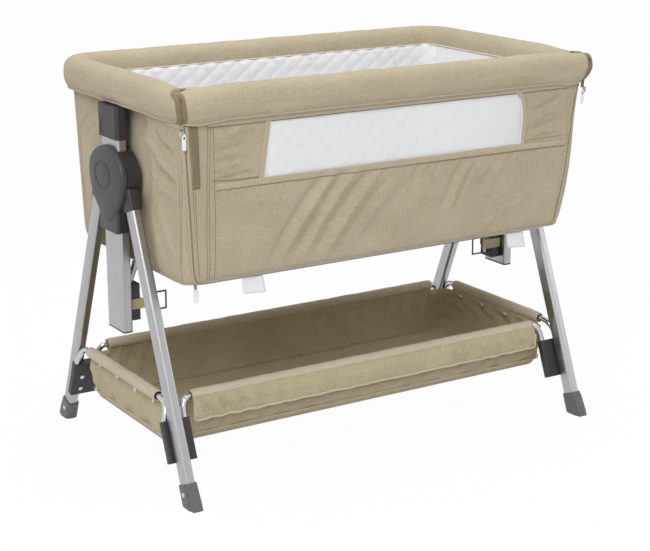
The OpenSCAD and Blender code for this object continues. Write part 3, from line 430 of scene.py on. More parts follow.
def maths(tree: Tree, operation: str, a: object, b: object = 0.0) -> Socket:
    """A Math node on two values or sockets."""
    return add_node(tree, "ShaderNodeMath", {0: a, 1: b}, operation=operation).outputs[0]


def weighted(tree: Tree, *terms: tuple[Socket, float], offset: float = 0.0) -> Socket:
    """The sum of patterns.

    Args:
        tree: Where it goes.
        terms: Each pattern and its weight.
        offset: What is added to the sum.

    Returns:
        The sum's socket.
    """
    total: object = offset
    for pattern, weight in terms:
        inputs = {0: pattern, 1: weight, 2: total}
        total = add_node(tree, "ShaderNodeMath", inputs, operation="MULTIPLY_ADD").outputs[0]
    return total


def noise(tree: Tree, where: Socket, scale: float, detail: float, rough: float = 0.5, flat: bool = False) -> Socket:
    """A noise pattern.

    Args:
        tree: Where it goes.
        where: Its coordinates.
        scale: Its scale.
        detail: How many finer layers it has.
        rough: How strong the finer layers are.
        flat: Whether it only runs by the first two coordinates.

    Returns:
        Its value.
    """
    inputs = {"Vector": where, "Scale": scale, "Detail": detail, "Roughness": rough}
    return add_node(tree, "ShaderNodeTexNoise", inputs, noise_dimensions="2D" if flat else "3D").outputs["Fac"]


def bands(tree: Tree, where: Socket, pitch: float, way: str, **shape: float) -> Socket:
    """A pattern of soft bands.

    Args:
        tree: Where it goes.
        where: Its coordinates.
        pitch: Distance between bands in millimetres.
        way: The direction across the bands.
        shape: The wave texture's other inputs, with _ for a space.

    Returns:
        Its value.
    """
    inputs = {"Vector": where, "Scale": BAND / (pitch * MM), **{k.replace("_", " "): v for k, v in shape.items()}}
    return add_node(tree, "ShaderNodeTexWave", inputs, bands_direction=way).outputs["Fac"]


def cloth_place(tree: Tree) -> Socket:
    """The coordinates along a sheet's own cloth."""
    return add_node(tree, "ShaderNodeUVMap", uv_map="cloth").outputs["UV"]


def object_place(tree: Tree, scale: Place = (1.0, 1.0, 1.0)) -> Socket:
    """The object's coordinates, stretched by scale."""
    where = add_node(tree, "ShaderNodeTexCoord").outputs["Object"]
    return add_node(tree, "ShaderNodeMapping", {"Vector": where, "Scale": scale}).outputs["Vector"]


@dataclass(frozen=True)
class Finish:
    """A finish with one principled shader. Constant gloss values sit on the shader's own sockets."""

    name: str
    colour: str
    roughness: float = 0.5
    metallic: float = 0.0
    sheen: float = 0.0
    coat: float = 0.0
    coat_roughness: float = 0.1

    def make(self) -> bpy.types.Material:
        """Builds the material once.

        Returns:
            The material, which is the same one at every later call.
        """
        found = bpy.data.materials.get(self.name)
        if found:
            return found
        material = bpy.data.materials.new(self.name)
        material.use_nodes = True
        shader = material.node_tree.nodes["Principled BSDF"]
        for socket, value in (
            ("Base Color", linear(self.colour)), ("Roughness", self.roughness), ("Metallic", self.metallic),
            ("Sheen Weight", self.sheen), ("Sheen Roughness", 0.5), ("Coat Weight", self.coat),
            ("Coat Roughness", self.coat_roughness),
        ):
            shader.inputs[socket].default_value = value
        self.detail(material.node_tree, shader)
        return material

    def detail(self, tree: Tree, shader: bpy.types.Node) -> None:
        """Adds the finish's own pattern. The plain finish has none."""


@dataclass(frozen=True)
class Patterned(Finish):
    """A finish whose colour runs from a dark to a light shade."""

    dark: str = "#000000"
    light: str = "#FFFFFF"

    def tint(self, tree: Tree, shader: bpy.types.Node, amount: Socket) -> None:
        """Drives the base colour from the finish's dark to its light.

        Args:
            tree: The material's nodes.
            shader: The shader.
            amount: 0 for dark and 1 for light.
        """
        ramp = add_node(tree, "ShaderNodeValToRGB", {"Fac": amount})
        for stop, code in zip(ramp.color_ramp.elements, (self.dark, self.light)):
            stop.color = linear(code)
        tree.links.new(ramp.outputs["Color"], shader.inputs["Base Color"])

    def relief(self, tree: Tree, shader: bpy.types.Node, height: Socket, depth: float, strength: float) -> None:
        """Turns a height pattern into bumps.

        Args:
            tree: The material's nodes.
            shader: The shader.
            height: The pattern.
            depth: Its depth in millimetres.
            strength: How strongly it tells.
        """
        inputs = {"Height": height, "Distance": depth * MM, "Strength": strength}
        tree.links.new(add_node(tree, "ShaderNodeBump", inputs).outputs["Normal"], shader.inputs["Normal"])

    def vary_gloss(self, tree: Tree, shader: bpy.types.Node, pattern: Socket, low: float, high: float) -> None:
        """Drives the roughness by a pattern.

        Args:
            tree: The material's nodes.
            shader: The shader.
            pattern: The pattern.
            low: What the pattern's low end adds to the roughness.
            high: What its high end adds.
        """
        ends = {"From Min": 0.3, "From Max": 0.7, "To Min": self.roughness + low, "To Max": self.roughness + high}
        node = add_node(tree, "ShaderNodeMapRange", {"Value": pattern, **ends})
        tree.links.new(node.outputs["Result"], shader.inputs["Roughness"])


@dataclass(frozen=True)
class Linen(Patterned):
    """Melange linen-look canvas: fine cross threads, thicker slubs both ways and a dry, fuzzy surface."""

    roughness: float = 0.9
    sheen: float = 0.12
    dark: str = "#94866B"
    light: str = "#CEC2A8"
    thread: float = 0.9
    slubs: tuple[Pair, Pair] = ((26, 2.2), (22, 2.0))
    fibres: tuple[Pair, Pair] = ((9, 1.1), (9, 1.0))

    def streaks(self, tree: Tree, cloth: Socket, sizes: tuple[Pair, Pair]) -> Socket:
        """Streaks along the cloth and across it.

        Args:
            tree: The material's nodes.
            cloth: The cloth's coordinates.
            sizes: Length and width of either kind, in millimetres.

        Returns:
            The sum of both.
        """
        terms = []
        for turned, (long, wide) in enumerate(sizes):
            scale = (1 / (long * MM), 1 / (wide * MM))
            scale = (*(scale[::-1] if turned else scale), 1.0)
            moved = add_node(tree, "ShaderNodeMapping", {"Vector": cloth, "Scale": scale}).outputs["Vector"]
            terms.append((noise(tree, moved, 1.0, 2.0, 0.6, flat=True), 1.0))
        return weighted(tree, *terms)

    def detail(self, tree: Tree, shader: bpy.types.Node) -> None:
        """Threads at their real pitch, slubs 2 mm wide and soft shade changes.

        Args:
            tree: The material's nodes.
            shader: The shader.
        """
        cloth = cloth_place(tree)
        slub, fine = self.streaks(tree, cloth, self.slubs), self.streaks(tree, cloth, self.fibres)
        cloud = noise(tree, cloth, 9.0, 3.0, flat=True)
        shape = {"Distortion": 1.2, "Detail": 1.0, "Detail_Scale": 2.0}
        weave = maths(tree, "MULTIPLY", *[bands(tree, cloth, self.thread, way, **shape) for way in "XY"])
        shade = weighted(tree, (slub, 0.42), (fine, 0.34), (cloud, 0.3), (weave, 0.25), offset=-0.4725)
        self.tint(tree, shader, shade)
        self.relief(tree, shader, weighted(tree, (weave, 0.5), (slub, 0.6)), 0.5, 0.55)


@dataclass(frozen=True)
class Cotton(Patterned):
    """Plain white cotton with a faint weave, for the lining, the mattress cover and the labels."""

    roughness: float = 0.85
    sheen: float = 0.1
    light: str = "#FAFAFB"
    dark: str = "#E9EAEE"
    thread: float = 0.7

    def detail(self, tree: Tree, shader: bpy.types.Node) -> None:
        """Fine threads and a little unevenness.

        Args:
            tree: The material's nodes.
            shader: The shader.
        """
        cloth = cloth_place(tree)
        weave = maths(tree, "MULTIPLY", *[bands(tree, cloth, self.thread, way, Distortion=0.8) for way in "XY"])
        cloud = noise(tree, cloth, 25.0, 3.0, flat=True)
        self.tint(tree, shader, weighted(tree, (weave, 0.35), (cloud, 0.9)))
        self.relief(tree, shader, weave, 0.2, 0.4)


@dataclass(frozen=True)
class Tape(Patterned):
    """Woven tape, for zips and webbing: ribs across it at their real pitch."""

    roughness: float = 0.8
    sheen: float = 0.1
    light: str = "#9A8B6A"
    dark: str = "#75684A"
    rib: float = 1.6

    def detail(self, tree: Tree, shader: bpy.types.Node) -> None:
        """Ribs by object coordinates, crossed at a slant as a herringbone is.

        Args:
            tree: The material's nodes.
            shader: The shader.
        """
        place = object_place(tree)
        straight = bands(tree, place, self.rib, "Z", Distortion=0.6)
        slanted = bands(tree, place, self.rib, "DIAGONAL", Distortion=0.6, Phase_Offset=1.3)
        shade = weighted(tree, (straight, 0.5), (slanted, 0.5))
        self.tint(tree, shader, shade)
        self.relief(tree, shader, shade, 0.4, 0.5)


@dataclass(frozen=True)
class NetCloth(Finish):
    """Fine knitted net: round holes in a staggered pattern that let the inside show."""

    roughness: float = 0.7
    hole: float = 1.5
    thread: Pair = (0.24, 0.34)

    def detail(self, tree: Tree, shader: bpy.types.Node) -> None:
        """Cuts the holes out of the surface's alpha.

        Args:
            tree: The material's nodes.
            shader: The shader.
        """
        inputs = {"Vector": cloth_place(tree), "Scale": 1 / (self.hole * MM), "Randomness": 0.0}
        cells = add_node(tree, "ShaderNodeTexVoronoi", inputs, voronoi_dimensions="2D").outputs["Distance"]
        ends = {"Value": cells, "From Min": self.thread[0], "From Max": self.thread[1]}
        tree.links.new(add_node(tree, "ShaderNodeMapRange", ends).outputs["Result"], shader.inputs["Alpha"])


@dataclass(frozen=True)
class DrawnMetal(Patterned):
    """Satin anodised aluminium or bright tube: fine lines along the drawing, and faint handling marks."""

    metallic: float = 1.0
    roughness: float = 0.34
    lines: Place = (900.0, 900.0, 6.0)
    light: str = "#BCBCBD"
    dark: str = "#A2A2A3"

    def detail(self, tree: Tree, shader: bpy.types.Node) -> None:
        """Drawing lines in colour, roughness and relief.

        Args:
            tree: The material's nodes.
            shader: The shader.
        """
        lines = noise(tree, object_place(tree, self.lines), 1.0, 3.0)
        self.tint(tree, shader, lines)
        self.vary_gloss(tree, shader, noise(tree, object_place(tree), 30.0, 5.0), -0.06, 0.08)
        self.relief(tree, shader, lines, 0.03, 0.25)


@dataclass(frozen=True)
class Moulded(Patterned):
    """Moulded plastic: a fine spark-eroded grain, slight sheen and faint rubbed patches."""

    roughness: float = 0.48
    light: str = "#5A5E60"
    dark: str = "#474A4C"
    grain: float = 0.6

    def detail(self, tree: Tree, shader: bpy.types.Node) -> None:
        """Grain in the relief, rubbed patches in colour and roughness.

        Args:
            tree: The material's nodes.
            shader: The shader.
        """
        place = object_place(tree)
        grain = noise(tree, place, 1 / (self.grain * MM), 1.0)
        rubbed = noise(tree, place, 22.0, 6.0, 0.65)
        self.tint(tree, shader, weighted(tree, (rubbed, 0.8), (grain, 0.2)))
        self.vary_gloss(tree, shader, rubbed, 0.06, -0.05)
        self.relief(tree, shader, grain, 0.08, 0.35)


@dataclass(frozen=True)
class FibreBoard(Patterned):
    """Pressed fibre board: matted short fibres in warm brown, 1 to 4 mm long."""

    roughness: float = 0.8
    light: str = "#B08D62"
    dark: str = "#8A6A44"
    flecks: Place = (300.0, 500.0, 400.0)

    def detail(self, tree: Tree, shader: bpy.types.Node) -> None:
        """The flecks of the fibres.

        Args:
            tree: The material's nodes.
            shader: The shader.
        """
        flecks = noise(tree, object_place(tree, self.flecks), 1.0, 5.0)
        self.tint(tree, shader, flecks)
        self.relief(tree, shader, flecks, 0.1, 0.3)


# What each finish gives the eye stands beside it.
LINEN = Linen("taupe_linen", "#B5A98A")  # dry, slubby canvas of the walls and the rail
LIT_BASKET_LINEN = Linen("basket_linen_painted_light", "#B9AD8E", dark="#988B6D", light="#D1C4A3")  # the same linen, lighter and warmer: painted light for the basket, which sits in the bed's shade
LIT_ROLL_LINEN = Linen("rolled_hem_linen", "#CFC4AA", dark="#AA9D82", light="#DED3BC")  # a lighter copy of the linen: painted highlight on the rolls' lit tops over the rods, also used on the flap's edge and the bindings
HEM = Linen("linen_hem", "#C0B498", dark="#9D8F76", light="#D2C5AE")  # crisp pale edges
THREAD = Finish("sewing_thread", "#CDC3A4", roughness=0.7)  # pale dots of the visible stitches
SEAM_AND_SHADE_THREAD = Finish("seam_thread", "#8D8165", roughness=0.8)  # the dark line of a seam, and the painted shade of the lines under the front bands and of the pleats
LINING = Cotton("white_lining", "#E8E9EC")  # soft white, shaded by the quilting alone
COVER = Cotton("mattress_cover", "#EEEEF0")  # the whitest cloth
LABEL = Cotton("blank_label", "#E9E9EA", light="#F0F0F1", dark="#DFDFE1")  # flat white tags
NET = NetCloth("window_net", "#E4E6E8")  # a pale veil over the window
ZIP_TAPE = Tape("zip_tape", "#84755A", light="#8F8064", dark="#6B5D44")  # brown ribbed stripes at the corners
ZIP_TEETH = Finish("zip_teeth", "#9B8D6E", roughness=0.45)  # a fine row of glints
WEBBING = Tape("woven_webbing", "#B5A582", light="#C2B392", dark="#98876A", rib=2.2)  # coarse tan ribs
ALUMINIUM = DrawnMetal("anodised_aluminium", "#BDBDC0")  # satin grey with long soft lights
STEEL = DrawnMetal(
    "brushed_steel", "#A9A9AB", roughness=0.3, light="#B6B6B8", dark="#9C9CA0", lines=(500.0, 500.0, 500.0)
)  # a thin bright line under the bed
CHROME = DrawnMetal(
    "polished_chrome", "#C6C8CA", roughness=0.16, light="#CDCFD1", dark="#B9BBBE", lines=(300.0, 300.0, 300.0)
)  # sharp lights on the basket's rods
ZINC = Finish("zinc_bolt", "#C4C4C2", roughness=0.28, metallic=1.0)  # small bright heads
HUB_FACE = Moulded("grained_hub_plastic", "#3A3C3C", light="#3D3F3F", dark="#313333")  # charcoal with a soft light
HUB_DARK = Moulded("grained_dark_plastic", "#393637", light="#353133", dark="#282526")  # warmer and darker
FOOT = Moulded("grained_foot_plastic", "#5A5C5D", light="#686A6B", dark="#525455")  # mid grey feet
BLACK = Moulded("grained_black_plastic", "#2B2C2E", light="#35363A", dark="#242528", roughness=0.5)  # matt black
WIRE = Finish("black_coated_wire", "#17181A", roughness=0.35, coat=0.3)  # black with a wet glint
WHITE = Moulded("smooth_white_plastic", "#ECECEE", light="#F2F2F4", dark="#E2E2E5", roughness=0.38)  # the pulls
BOARD = FibreBoard("fibre_board", "#9C7A52")  # warm brown flecks


# Geometry node trees


@dataclass
class Grower:
    """Builds one Geometry Nodes tree and turns what it grows into a plain mesh.

    The input geometry is a set of polylines or points, in metres.
    """

    name: str
    sizes: dict[str, float]
    tree: Optional[Tree] = None

    def start(self) -> tuple[Tree, bpy.types.Node]:
        """Makes the tree with its named inputs.

        Returns:
            The tree and its input node.
        """
        self.tree = bpy.data.node_groups.new(self.name, "GeometryNodeTree")
        face = self.tree.interface
        face.new_socket("Geometry", in_out="INPUT", socket_type="NodeSocketGeometry")
        for key, value in self.sizes.items():
            face.new_socket(key, in_out="INPUT", socket_type="NodeSocketFloat").default_value = value
        face.new_socket("Material", in_out="INPUT", socket_type="NodeSocketMaterial")
        face.new_socket("Geometry", in_out="OUTPUT", socket_type="NodeSocketGeometry")
        return self.tree, add_node(self.tree, "NodeGroupInput")

    def end(self, given: bpy.types.Node, shape: Socket) -> None:
        """Realizes what grew, shades it smooth, gives it its material and ends the tree.

        Args:
            given: The tree's input node.
            shape: What grew.
        """
        real = add_node(self.tree, "GeometryNodeRealizeInstances", {"Geometry": shape})
        soft = add_node(self.tree, "GeometryNodeSetShadeSmooth", {"Geometry": real.outputs[0]})
        finish = {"Geometry": soft.outputs[0], "Material": given.outputs["Material"]}
        dressed = add_node(self.tree, "GeometryNodeSetMaterial", finish)
        add_node(self.tree, "NodeGroupOutput", {"Geometry": dressed.outputs[0]})

    def lines(self) -> None:
        """A round cord along each polyline."""
        tree, given = self.start()
        curve = add_node(tree, "GeometryNodeMeshToCurve", {"Mesh": given.outputs["Geometry"]})
        size = {"Radius": given.outputs["Radius"], "Resolution": 14}
        ring = add_node(tree, "GeometryNodeCurvePrimitiveCircle", size)
        parts = {"Curve": curve.outputs[0], "Profile Curve": ring.outputs["Curve"], "Fill Caps": True}
        self.end(given, add_node(tree, "GeometryNodeCurveToMesh", parts).outputs[0])

    def stitches(self) -> None:
        """Small seeds at an even pitch along each polyline, laid lengthways."""
        tree, given = self.start()
        curve = add_node(tree, "GeometryNodeMeshToCurve", {"Mesh": given.outputs["Geometry"]})
        along = {"Curve": curve.outputs[0], "Length": given.outputs["Pitch"]}
        spots = add_node(tree, "GeometryNodeCurveToPoints", along, mode="LENGTH")
        seed = add_node(tree, "GeometryNodeMeshIcoSphere", {"Radius": 0.5, "Subdivisions": 1})
        way = (spots.outputs["Tangent"], "X")
        self.scatter(given, spots.outputs["Points"], seed.outputs["Mesh"], way, ("Length", "Width", "Height"))

    def heads(self) -> None:
        """A domed head on each point, looking along the point's facing attribute."""
        tree, given = self.start()
        facing = add_node(tree, "GeometryNodeInputNamedAttribute", {"Name": "facing"}, data_type="FLOAT_VECTOR")
        dome = add_node(tree, "GeometryNodeMeshUVSphere", {"Segments": 20, "Rings": 10, "Radius": 1.0})
        way = (facing.outputs["Attribute"], "Z")
        self.scatter(given, given.outputs["Geometry"], dome.outputs["Mesh"], way, ("Radius", "Radius", "Height"))

    def scatter(
        self, given: bpy.types.Node, points: Socket, shape: Socket, way: tuple[Socket, str], sizes: Sequence[str]
    ) -> None:
        """Sets a shape on every point, turned and scaled, and ends the tree.

        Args:
            given: The tree's input node.
            points: Where the shapes go.
            shape: The shape.
            way: The direction that each looks in, and which of its axes looks there.
            sizes: The names of the inputs that scale its three axes.
        """
        scale = add_node(self.tree, "ShaderNodeCombineXYZ", {k: given.outputs[key] for k, key in zip("XYZ", sizes)})
        turn = add_node(self.tree, "FunctionNodeAlignRotationToVector", {"Vector": way[0]}, axis=way[1])
        parts = {
            "Points": points, "Instance": shape, "Rotation": turn.outputs["Rotation"], "Scale": scale.outputs["Vector"],
        }
        self.end(given, add_node(self.tree, "GeometryNodeInstanceOnPoints", parts).outputs[0])

    def guide(self, name: str, paths: Sequence, facing: Optional[np.ndarray], closed: bool) -> Object:
        """The polylines or points that the tree runs on.

        Args:
            name: Its name.
            paths: As for grow.
            facing: As for grow.
            closed: As for grow.

        Returns:
            An object of points and edges.
        """
        points, edges = [], []
        for path in paths:
            first = len(points)
            points += (np.asarray(path, float) * MM).tolist()
            if facing is None:
                edges += [(k, k + 1) for k in range(first, len(points) - 1)]
                edges += [(len(points) - 1, first)] if closed else []
        mesh = bpy.data.meshes.new(name)
        mesh.from_pydata(points, edges, [])
        if facing is not None:
            layer = mesh.attributes.new("facing", "FLOAT_VECTOR", "POINT")
            layer.data.foreach_set("vector", np.asarray(facing, np.float32).ravel())
        return linked(name, mesh)

    def grow(
        self,
        name: str,
        body: str,
        slot: str,
        material: bpy.types.Material,
        paths: Sequence,
        facing: Optional[np.ndarray] = None,
        closed: bool = False,
        replaces: Sequence[str] = (),
        **sizes: float,
    ) -> None:
        """Runs the tree on paths in millimetres, makes a plain mesh of what grows and dresses it.

        Args:
            name: The piece's name.
            body: The frame's body.
            slot: The record's material slot; not used.
            material: The finish.
            paths: Polylines, each an array (n, 3), or one array of points where facing is given.
            facing: For points, the directions that they look in.
            closed: Whether each polyline ends where it starts.
            replaces: Frame nodes that it stands for.
            sizes: Sizes in millimetres that differ from the tree's own.
        """
        guide = self.guide(name + "_guide", paths, facing, closed)
        grown = guide.modifiers.new("grow", "NODES")
        grown.node_group = self.tree
        wanted = {**self.sizes, **{key: value * MM for key, value in sizes.items()}, "Material": material}
        for item in self.tree.interface.items_tree:
            if item.in_out == "INPUT" and item.name in wanted:
                grown[item.identifier] = wanted[item.name]
        ready = guide.evaluated_get(bpy.context.evaluated_depsgraph_get())
        plain = bpy.data.meshes.new_from_object(ready)
        plain.name = name
        bpy.data.objects.remove(guide)
        obj = linked(name, plain)
        face_outwards(obj)
        dress(obj, body, material, replaces)


CORDS = Grower("cord_along_a_line", {"Radius": 1.5 * MM})
STITCHES = Grower(
    "stitches_along_a_line", {"Pitch": 3.2 * MM, "Length": 2.4 * MM, "Width": 0.8 * MM, "Height": 0.6 * MM}
)
HEADS = Grower("heads_on_points", {"Radius": 4.0 * MM, "Height": 1.6 * MM})


# The sewn bed


def mix(a: float, b: float, t: np.ndarray | float) -> np.ndarray:
    """From a to b as t goes from 0 to 1."""
    return a + (b - a) * t


@dataclass(frozen=True)
class BedShape:
    """The sewn bed's outline. Its height h is 0 at the bottom hem and 1 under the rail."""

    bottom: float = 398.0
    tall: float = 296.7
    front: Pair = (227.0, 262.0)
    rear: Pair = (231.0, 242.0)
    zip_line: Pair = (411.0, 443.0)
    end_front: Pair = (432.0, 449.0)
    end_rear: Pair = (433.0, 440.0)
    hub_plane: float = 429.0
    hub_half: float = 86.0
    corner: float = 48.0
    front_corner: Pair = (17.0, 6.0)
    tuck_height: float = 32.0
    tuck_depths: tuple[float, float, float, float] = (6.5, 10.0, 6.0, 14.0)
    window_low: float = 0.6067
    fold_depth: float = 4.0
    hub_ease: float = 46.0
    broad_folds: tuple[Place, ...] = ((-250, 340, 60), (-100, 300, 70))
    broad_hollows: tuple[Place, ...] = ((202, -240, 60), (380, -300, 60))

    @property
    def top(self) -> float:
        """Height of the walls' upper edge."""
        return self.bottom + self.tall

    def z(self, h: np.ndarray | float) -> np.ndarray:
        """Height above the floor."""
        return self.bottom + self.tall * np.asarray(h, float)

    def h(self, z: np.ndarray | float) -> np.ndarray:
        """The share of the walls' height at z."""
        return (np.asarray(z, float) - self.bottom) / self.tall

    def tuck(self, h: np.ndarray | float) -> np.ndarray:
        """How far the bottom edge has turned in under the bed, 1 at its hem."""
        low = np.clip(1 - np.asarray(h, float) * self.tall / self.tuck_height, 0, 1)
        return 1 - np.sqrt(1 - low**2)

    def front_y(self, h: np.ndarray | float) -> np.ndarray:
        """The front wall's distance from the middle."""
        return mix(*self.front, h) - self.tuck_depths[0] * self.tuck(h)

    def rear_y(self, h: np.ndarray | float) -> np.ndarray:
        """The rear wall's distance from the middle."""
        return mix(*self.rear, h) - self.tuck_depths[1] * self.tuck(h)

    def zip_x(self, h: np.ndarray | float) -> np.ndarray:
        """The zips' distance from the middle."""
        return mix(*self.zip_line, h) - self.tuck_depths[3] * self.tuck(h)

    def turn(self, h: np.ndarray | float) -> np.ndarray:
        """The plan radius of the front corners, larger at the bottom."""
        return mix(*self.front_corner, smooth(np.asarray(h, float) * self.tall / 90))

    def end_x(self, y: np.ndarray | float, h: np.ndarray | float) -> np.ndarray:
        """The end walls' distance from the middle, held in by the hub.

        Args:
            y: Place along the wall, the front at -Y.
            h: Share of the walls' height.

        Returns:
            Distances of the same shape.
        """
        t = (y + self.front_y(h)) / (self.front_y(h) + self.rear_y(h))
        plain = mix(mix(*self.end_front, h), mix(*self.end_rear, h), t)
        away = smooth((np.abs(y) - self.hub_half) / self.hub_ease)
        return mix(np.minimum(plain, self.hub_plane), plain, away) - self.tuck_depths[2] * self.tuck(h)

    def end_fold(self, y: np.ndarray, h: np.ndarray) -> np.ndarray:
        """How deep the end walls' folds are."""
        near = bump(y, -10 - 160 * h, 34) - bump(y, -130 - 60 * h, 30) * smooth((np.abs(y) - self.hub_half) / 20)
        return self.fold_depth * bump(h, 0.5, 0.5) * near

    def front_fold(self, x: np.ndarray, h: np.ndarray) -> np.ndarray:
        """How deep the front wall's broad folds are.

        Args:
            x: Place along the wall.
            h: Share of the walls' height.

        Returns:
            Depths of the same shape.
        """
        free = smooth(h / 0.2) * smooth((self.window_low - h) / 0.12) * smooth((384 - np.abs(x)) / 40)
        long = sum(bump(x, start + lean * h, half) for start, lean, half in self.broad_folds)
        for start, lean, half in self.broad_hollows:
            long = long - bump(x, start + lean * h, half)
        return free * self.fold_depth * long


BED = BedShape()


@dataclass(frozen=True)
class CreaseMark:
    """A fold drawn on a wall, from one place to another."""

    start: Pair
    end: Pair
    half: float
    depth: float


def fold_marks(*rows: tuple[float, ...]) -> tuple[CreaseMark, ...]:
    """Marks from rows of their two ends, half their width and their depth."""
    return tuple(CreaseMark(row[:2], row[2:4], *row[4:]) for row in rows)


def creases(u: np.ndarray, z: np.ndarray, marks: Sequence[CreaseMark]) -> np.ndarray:
    """The depth of all marks.

    Args:
        u: Place along the wall.
        z: Height above the floor.
        marks: The folds.

    Returns:
        Depths of the same shape.
    """
    total = np.zeros(np.broadcast(u, z).shape)
    for m in marks:
        total = total + m.depth * crease(u, z, m.start, m.end, m.half)
    return total


@dataclass
class FrontFace:
    """The front wall's cloth surface, as depth by x and height."""

    marks: tuple[CreaseMark, ...] = fold_marks(
        (-268, 404, -118, 590, 13, -5.0), (-244, 402, -96, 588, 11, 5.4), (-222, 400, -76, 586, 12, -6.0),
        (-198, 400, -50, 584, 11, 5.6), (-174, 400, -22, 580, 12, -6.0), (-150, 400, 6, 578, 12, 5.4),
        (-128, 402, 26, 560, 12, -4.6), (-96, 402, 50, 552, 15, 3.0), (110, 450, 182, 574, 10, -3.4),
        (128, 446, 200, 574, 9, 3.4), (148, 452, 216, 574, 9, -3.6), (200, 480, 262, 572, 9, -2.8),
        (218, 470, 284, 572, 10, 2.4), (46, 536, 66, 574, 6, -2.6), (72, 540, 90, 574, 6, -2.6),
        (96, 540, 112, 574, 5, -2.2), (222, 546, 238, 574, 5, -2.4), (252, 548, 268, 574, 5, -2.4),
        (278, 548, 294, 574, 5, -2.2), (-374, 548, -364, 574, 6, -2.0), (-352, 550, -342, 574, 6, -2.0),
        (-386, 660, -300, 678, 10, 3.2), (-386, 638, -318, 646, 6, -2.8), (-388, 628, -322, 632, 5, 2.6),
        (-388, 618, -310, 618, 4, -3.0), (-388, 609, -318, 608, 4, 2.6), (-388, 600, -322, 599, 4, -2.8),
        (-390, 588, -286, 588, 5, -5.5), (312, 652, 420, 676, 6, 3.4), (312, 640, 418, 664, 5, -3.4),
        (314, 622, 416, 642, 6, 3.4), (314, 607, 414, 617, 5, -3.8), (314, 594, 414, 597, 5, 4.6),
        (210, 410, 380, 478, 13, 2.4),
    )

    def y(self, x: np.ndarray | float, z: np.ndarray | float, proud: float = 0.0) -> np.ndarray:
        """The cloth's outer face.

        Args:
            x: Place along the wall.
            z: Height above the floor.
            proud: How far in front of the face.

        Returns:
            Y of each place.
        """
        x, z = np.asarray(x, float), np.asarray(z, float)
        h = np.clip(BED.h(z), 0, 1)
        soft = (1.1 * ripple(x, z, 90, 3) + 0.35 * ripple(x, z, 26, 4)) * smooth(h / 0.1) * smooth((1 - h) / 0.05)
        fold = BED.front_fold(x, h) - creases(x, z, self.marks) * smooth((z - 402) / 16)
        return -BED.front_y(BED.h(z)) + fold + soft - proud


def resample(points: Sequence, step: float) -> np.ndarray:
    """Points at an even step along a polyline, its ends kept.

    Args:
        points: Array (n, k) or rows of numbers.
        step: The distance between points, which gives a little.

    Returns:
        Array (m, k).
    """
    points = np.asarray(points, float)
    lengths = np.concatenate([[0], np.linalg.norm(np.diff(points, axis=0), axis=1).cumsum()])
    places = np.linspace(0, lengths[-1], max(2, int(round(lengths[-1] / step)) + 1))
    return np.stack([np.interp(places, lengths, column) for column in points.T], axis=1)


def rounded_path(points: np.ndarray, times: int = 2) -> np.ndarray:
    """Cuts the corners of a polyline to make it a curve, its ends kept.

    Args:
        points: Array (n, k).
        times: How often the corners are cut.

    Returns:
        Array (m, k).
    """
    for _ in range(times):
        a, b = points[:-1], points[1:]
        cut = np.stack([0.75 * a + 0.25 * b, 0.25 * a + 0.75 * b], 1).reshape(-1, points.shape[1])
        points = np.concatenate([points[:1], cut, points[-1:]])
    return points


def bezier(points: Sequence[Sequence[float]], count: int) -> np.ndarray:
    """Points on a Bezier curve of any degree.

    Args:
        points: Its control points.
        count: How many points are returned.

    Returns:
        Array (count, k).
    """
    p, t, n = np.asarray(points, float), np.linspace(0, 1, count)[:, None], len(points) - 1
    return sum(math.comb(n, k) * t**k * (1 - t) ** (n - k) * p[k] for k in range(n + 1))


def oblong(half: Pair, corner: float, steps: int) -> np.ndarray:
    """A rounded oblong in plan, counter-clockwise from the right end's rear corner.

    Args:
        half: Half its length and width.
        corner: The corners' radius.
        steps: Points in each corner.

    Returns:
        Array (4 * steps, 2).
    """
    (hx, hy), points = half, []
    for sx, sy, start in ((1, 1, 0), (-1, 1, 90), (-1, -1, 180), (1, -1, 270)):
        for a in np.radians(np.linspace(start, start + 90, steps)):
            points.append((sx * (hx - corner) + corner * math.cos(a), sy * (hy - corner) + corner * math.sin(a)))
    return np.array(points)


def strip(
    name: str, middle: np.ndarray, across: np.ndarray, outward: np.ndarray, width: float, thickness: float
) -> Object:
    """A flat tape along a line: a closed body with rounded edges.

    Args:
        name: The piece's name.
        middle: Array (n, 3), the middle of the tape's underside.
        across: Array (n, 3) or (3,), unit directions across the tape.
        outward: Array (n, 3) or (3,), unit directions out of the tape's face.
        width: In millimetres.
        thickness: In millimetres.

    Returns:
        The tape.
    """
    section = np.array([
        (-0.5, 0.0), (0.5, 0.0), (0.5, 0.45), (0.47, 0.9), (0.42, 1.0), (0.2, 1.0), (0.0, 1.0), (-0.2, 1.0),
        (-0.42, 1.0), (-0.47, 0.9), (-0.5, 0.45),
    ])
    across = np.broadcast_to(np.asarray(across, float), middle.shape)
    outward = np.broadcast_to(np.asarray(outward, float), middle.shape)
    rings = (
        middle[:, None, :]
        + across[:, None, :] * (section[None, :, :1] * width)
        + outward[:, None, :] * (section[None, :, 1:] * thickness)
    )
    return tube_of_rings(name, rings)


# The padded rail


